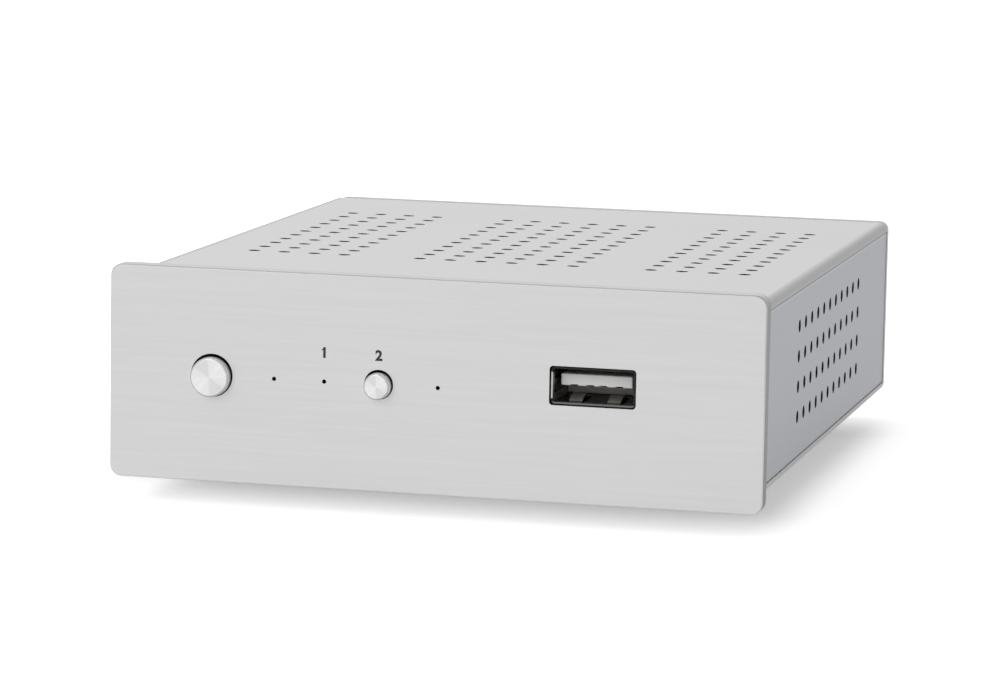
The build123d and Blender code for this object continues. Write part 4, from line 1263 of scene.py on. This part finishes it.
def hexagon_nut(sizes, height):
    """A nut with its corners turned off, bored and countersunk."""
    half = sizes.nut_width / 2
    corner = half / cos(pi / 6)
    solid = bpy.ops.mesh.primitive_cylinder_add
    nut = begin("aerial_hexagon_nut", solid, vertices=6, radius=corner, depth=height)
    bpy.ops.transform.translate(value=(0, 0, -height / 2))
    bpy.ops.transform.rotate(value=pi / 6, orient_axis="Z", center_override=(0, 0, 0))
    close(nut)
    bite, clear_of = (corner - half) * 0.55, corner + 0.02
    steps = [(0, 0), (0, half - 0.05), (-bite, clear_of), (-height + bite, clear_of)]
    steps += [(-height, half - 0.05), (-height, 0)]
    cut(nut, turned("trim", steps, 48), "INTERSECT")
    bore = sizes.thread_radius + 0.1
    steps = [(1, 0), (1, bore + 0.5), (0, bore + 0.3), (-0.3, bore), (-height + 0.3, bore)]
    steps += [(-height, bore + 0.3), (-height - 1, bore + 0.5), (-height - 1, 0)]
    return cut(nut, turned("drill", steps, 48))


class STREAMER_OT_aerial_socket(bpy.types.Operator):
    """Turn the threaded aerial socket with its insulator and nut"""

    bl_idname = "streamer.aerial_socket"
    bl_label = "Aerial socket"

    def execute(self, context):
        sizes = settings("sockets")
        low, high, middle = box("aerial_jack")
        nut_low, nut_high, nut_middle = box("aerial_nut")
        panel_y = box("rear_panel")[0].y
        barrel = aerial_barrel(sizes, high, panel_y)
        settle(barrel, TO_REAR, (middle.x, high.y, nut_middle.z))
        base = block("base", low, (high.x, panel_y, high.z), 0.3)
        gold = plain_finish("plated_gold")
        fit(join([barrel, base]), "case", gold, "aerial_jack")
        # insulator with the hole of its contact
        start, end, centre = box("aerial_insulator")
        depth, radius = end.y - start.y, sizes.aerial_bore - 0.03
        steps = [(-3.0, 0), (-3.0, 0.45), (-0.15, 0.45), (0, 0.6), (0, radius - 0.1), (-0.1, radius)]
        steps += [(-depth, radius), (-depth, 0)]
        insulator, place = turned("aerial_white_insulator", steps, 40), (centre.x, end.y, centre.z)
        fit(insulator, "case", plain_finish("pale_moulding"), "aerial_insulator", turn=TO_REAR, place=place)
        nut, place = hexagon_nut(sizes, nut_high.y - nut_low.y), (nut_middle.x, nut_high.y, nut_middle.z)
        fit(nut, "case", gold, "aerial_nut", turn=TO_REAR, place=place)
        return {"FINISHED"}


class STREAMER_OT_screws(bpy.types.Operator):
    """Make the pan-head screws of the rear panel"""

    bl_idname = "streamer.screws"
    bl_label = "Screws"

    def execute(self, context):
        sizes = settings("sockets")
        low, high, _ = box("rear_panel_screws")
        radius, shank = sizes.screw_head, sizes.screw_shank
        head, total = high.y - box("rear_panel")[1].y, high.y - low.y
        steps = [(0, 0), (0, radius * 0.35), (-0.1, radius * 0.62), (-0.32, radius * 0.85)]
        steps += [(-0.7, radius * 0.98), (-1.0, radius), (-head + 0.1, radius), (-head, radius - 0.1)]
        steps += [(-head, shank), (-total + 0.4, shank), (-total, shank * 0.6), (-total, 0)]
        screw = turned("pan_head_screws", steps, 40)
        # the cross recess, two tapered slots at right angles
        for turn in (pi / 4, 3 * pi / 4):
            slot = begin("slot", bpy.ops.mesh.primitive_cube_add, size=1)
            bpy.ops.transform.resize(value=(radius * 1.15, 0.5, 1.8), center_override=(0, 0, 0))
            bpy.ops.transform.rotate(value=turn, orient_axis="Z", center_override=(0, 0, 0))
            pick("faces", lambda face: face.normal.z < -0.9)
            bpy.ops.transform.resize(value=(0.45, 0.45, 1), center_override=(0, 0, -0.9))
            cut(screw, close(slot))
        (first_x, first_z), *others = screw_places(radius)
        screw = repeat(screw, [(x - first_x, first_z - z, 0) for x, z in others])
        look, place = plain_finish("zinc_screws"), (first_x, high.y, first_z)
        fit(screw, "case", look, "rear_panel_screws", turn=TO_REAR, place=place)
        return {"FINISHED"}


class STREAMER_OT_feet(bpy.types.Operator):
    """Turn the four rubber feet"""

    bl_idname = "streamer.feet"
    bl_label = "Feet"

    def execute(self, context):
        low, high, _ = box("rubber_feet")
        radius, groove = 4.5, 0.25
        edge, height, waist = settings("case").foot_bevel, high.z - low.z, radius - groove
        angles = [step * pi / 10 for step in range(6)]
        steps = [(0, 0)]
        steps += [(edge * (1 - cos(angle)), radius - edge + edge * sin(angle)) for angle in angles]
        steps += [(height * 0.55, radius), (height * 0.60, waist), (height * 0.72, waist)]
        steps += [(height * 0.77, radius), (height, radius), (height, 0)]
        foot = turned("rubber_foot_set", steps, 48)
        xs, ys = (low.x + radius, high.x - radius), (low.y + radius, high.y - radius)
        (first_x, first_y), *others = [(x, y) for x in xs for y in ys]
        foot = repeat(foot, [(x - first_x, y - first_y, 0) for x, y in others])
        fit(foot, "case", plain_finish("black_rubber"), "rubber_feet", place=(first_x, first_y, low.z))
        return {"FINISHED"}


class STREAMER_OT_inside(bpy.types.Operator):
    """Finish the plate, boards, switches and parts inside the case"""

    bl_idname = "streamer.inside"
    bl_label = "Inside"

    def execute(self, context):
        for look, nodes in (
            ("inner_satin", ("inner_front_plate",)),
            ("solder_resist", ("control_board", "main_board", "compute_module_board")),
            ("zinc_screws", ("control_board_screws", "front_plate_screws", "panel_screws")),
            ("turned_brass", ("control_board_spacers",)),
            ("dark_moulding", ("power_switch_plunger", "source_switch_plunger", "lamp_spacers")),
        ):
            for node in nodes:
                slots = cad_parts[node].data.materials
                slots.clear()
                slots.append(plain_finish(look))
        fit_softened(
            ("board_header", "header_block", 0.1, "dark_moulding"),
            ("module_connectors", "module_connector_pair", 0.12, "dark_moulding"),
            ("processor_chip", "processor_package", 0.08, "dark_moulding"),
            ("memory_chip", "memory_package", 0.08, "dark_moulding"),
            ("usb_bridge_chip", "bridge_package", 0.06, "dark_moulding"),
            ("wifi_module", "wifi_can", 0.15, "plated_sheet"),
            ("clock_oscillators", "oscillator_cans", 0.25, "plated_sheet"),
            ("inductors", "ferrite_inductors", 0.3, "dark_moulding"),
            ("heat_sink", "finned_heat_sink", 0.1, "dark_anodised"),
            ("capacitors", "capacitor_cans", 0.5, "drawn_can"),
            ("power_switch_body", "power_switch_case", 0.15, "dark_moulding"),
            ("source_switch_body", "source_switch_case", 0.15, "dark_moulding"),
        )
        return {"FINISHED"}


# Stage

# in metres: each light's name, place, width and power, then the photograph's camera
LIGHTS = (("key_lamp", (-0.40, -1.00, 0.70), 0.8, 4.0), ("top_lamp", (-0.42, 0.00, 0.80), 0.9, 2.5))
CAMERA_PLACE = (0.17028, -0.70128, 0.1220)
CAMERA_FORWARD = (-0.2409, 0.9603, -0.1408)
CAMERA_RIGHT = (0.9691, 0.2459, 0.01825)
CAMERA_LENS = 157.92  # focal length in millimetres


def studio_floor():
    """The floor's finish. Its glow whitens it and is weakest under and around the case, which paints a shadow
    there on top of the real one.
    """
    made = Finish("studio_floor", roughness=0.9, specular_ior_level=0.0)
    place = made.place()
    x, y, _ = made.parts(place)
    made.feed(base_color=made.tint((0.72, 0.72, 0.72), 0.995 + made.noise(place, 3.0, 1.0) * 0.01))
    right, left, middle, half = 0.047, -0.055, -0.0015, 0.0385  # the ground that the glow spares, in metres
    # a painted shadow: the glow fades towards the case, over a wider band to the front and back than to the
    # sides
    beyond_x = (x > right) * (x - right) / 0.008 + (x < left) * (left - x) / 0.008
    beyond_y = (abs(y - middle) > half) * (abs(y - middle) - half) / 0.0225
    away = made.span(made.node("CombineXYZ", None, {0: beyond_x, 1: beyond_y}))
    near_glow = away.ramp(0.0, 1.15, 0.36, 0.70, interpolation_type="SMOOTHSTEP")
    far_glow = near_glow + away.ramp(1.3, 30.0, 0.0, 0.14)
    camera, gloss, through = made.rays()
    strength = (camera + gloss + through) * far_glow
    glow = made.node("Emission", None, {"Color": (1, 1, 1, 1), "Strength": strength})
    both = made.node("AddShader", None, {0: Value(made, made.shader.outputs[0]), 1: glow})
    made.tree.links.new(both.socket, made.tree.nodes["Material Output"].inputs["Surface"])
    return made.material


def studio_world():
    """Plain surroundings, white where the camera or a gloss sees them."""
    world = bpy.data.worlds.new("studio")
    sky = Nodes(world)
    camera, gloss, through = sky.rays()
    seen = camera.work("MAXIMUM", camera.work("MAXIMUM", camera, gloss), through)
    strength = sky.node("Mix", None, {"Factor": seen, "A": 0.46, "B": 1.0}, "Result")
    background = sky.tree.nodes["Background"]
    background.inputs["Color"].default_value = (1, 1, 1, 1)
    sky.tree.links.new(strength.socket, background.inputs["Strength"])
    return world


class STREAMER_OT_stage(bpy.types.Operator):
    """Set up the floor, the soft light and the camera"""

    bl_idname = "streamer.stage"
    bl_label = "Stage"

    def execute(self, context):
        scene = context.scene
        clear()
        bpy.ops.mesh.primitive_plane_add(size=8)
        floor = context.object
        floor.name = "studio_floor"
        floor.data.materials.append(studio_floor())
        scene.world = studio_world()
        for name, place, size, power in LIGHTS:
            bpy.ops.object.light_add(type="AREA", location=place)
            lamp = context.object
            lamp.name = name
            lamp.data.shape = "DISK"
            lamp.data.size = size
            lamp.data.energy = power
            aim = Vector((0, 0, 0.015)) - Vector(place)
            lamp.rotation_euler = aim.to_track_quat("-Z", "Y").to_euler()
        bpy.ops.object.camera_add(location=CAMERA_PLACE)
        camera = context.object
        camera.name = "photo_camera"
        forward, right = Vector(CAMERA_FORWARD).normalized(), Vector(CAMERA_RIGHT)
        right = (right - forward * right.dot(forward)).normalized()
        camera.rotation_euler = Matrix((right, right.cross(forward), -forward)).transposed().to_euler()
        camera.data.sensor_fit = "HORIZONTAL"
        camera.data.sensor_width = 36.0
        camera.data.lens = CAMERA_LENS
        camera.data.clip_start = 0.01
        scene.camera = camera
        scene.view_settings.view_transform = "Standard"
        return {"FINISHED"}


OPERATORS = (
    STREAMER_OT_front_panel,
    STREAMER_OT_printed_numbers,
    STREAMER_OT_covers,
    STREAMER_OT_side_rails,
    STREAMER_OT_rear_panel,
    STREAMER_OT_push_buttons,
    STREAMER_OT_lamps,
    STREAMER_OT_usb_sockets,
    STREAMER_OT_rear_sockets,
    STREAMER_OT_aerial_socket,
    STREAMER_OT_screws,
    STREAMER_OT_feet,
    STREAMER_OT_inside,
    STREAMER_OT_stage,
)


class STREAMER_PT_pieces(bpy.types.Panel):
    """Lists the streamer's settings and pieces"""

    bl_idname = "STREAMER_PT_pieces"
    bl_label = "Music streamer"
    bl_space_type = "VIEW_3D"
    bl_region_type = "UI"
    bl_category = "Streamer"

    def draw(self, context):
        for name, group in SETTINGS.items():
            part = self.layout.box()
            part.label(text=group.__doc__.strip("."))
            for key in group.__annotations__:
                part.prop(getattr(context.scene, name), key)
        for operator in OPERATORS:
            self.layout.operator(operator.bl_idname)


CLASSES = (*SETTINGS.values(), *OPERATORS, STREAMER_PT_pieces)


def register():
    for kind in CLASSES:
        bpy.utils.register_class(kind)
    for name, group in SETTINGS.items():
        setattr(bpy.types.Scene, name, PointerProperty(type=group))


def unregister():
    for name in SETTINGS:
        delattr(bpy.types.Scene, name)
    for kind in reversed(CLASSES):
        bpy.utils.unregister_class(kind)


def main():
    register()
    for operator in OPERATORS:
        area, command = operator.bl_idname.split(".")
        getattr(getattr(bpy.ops, area), command)()


if __name__ == "__main__":
    main()
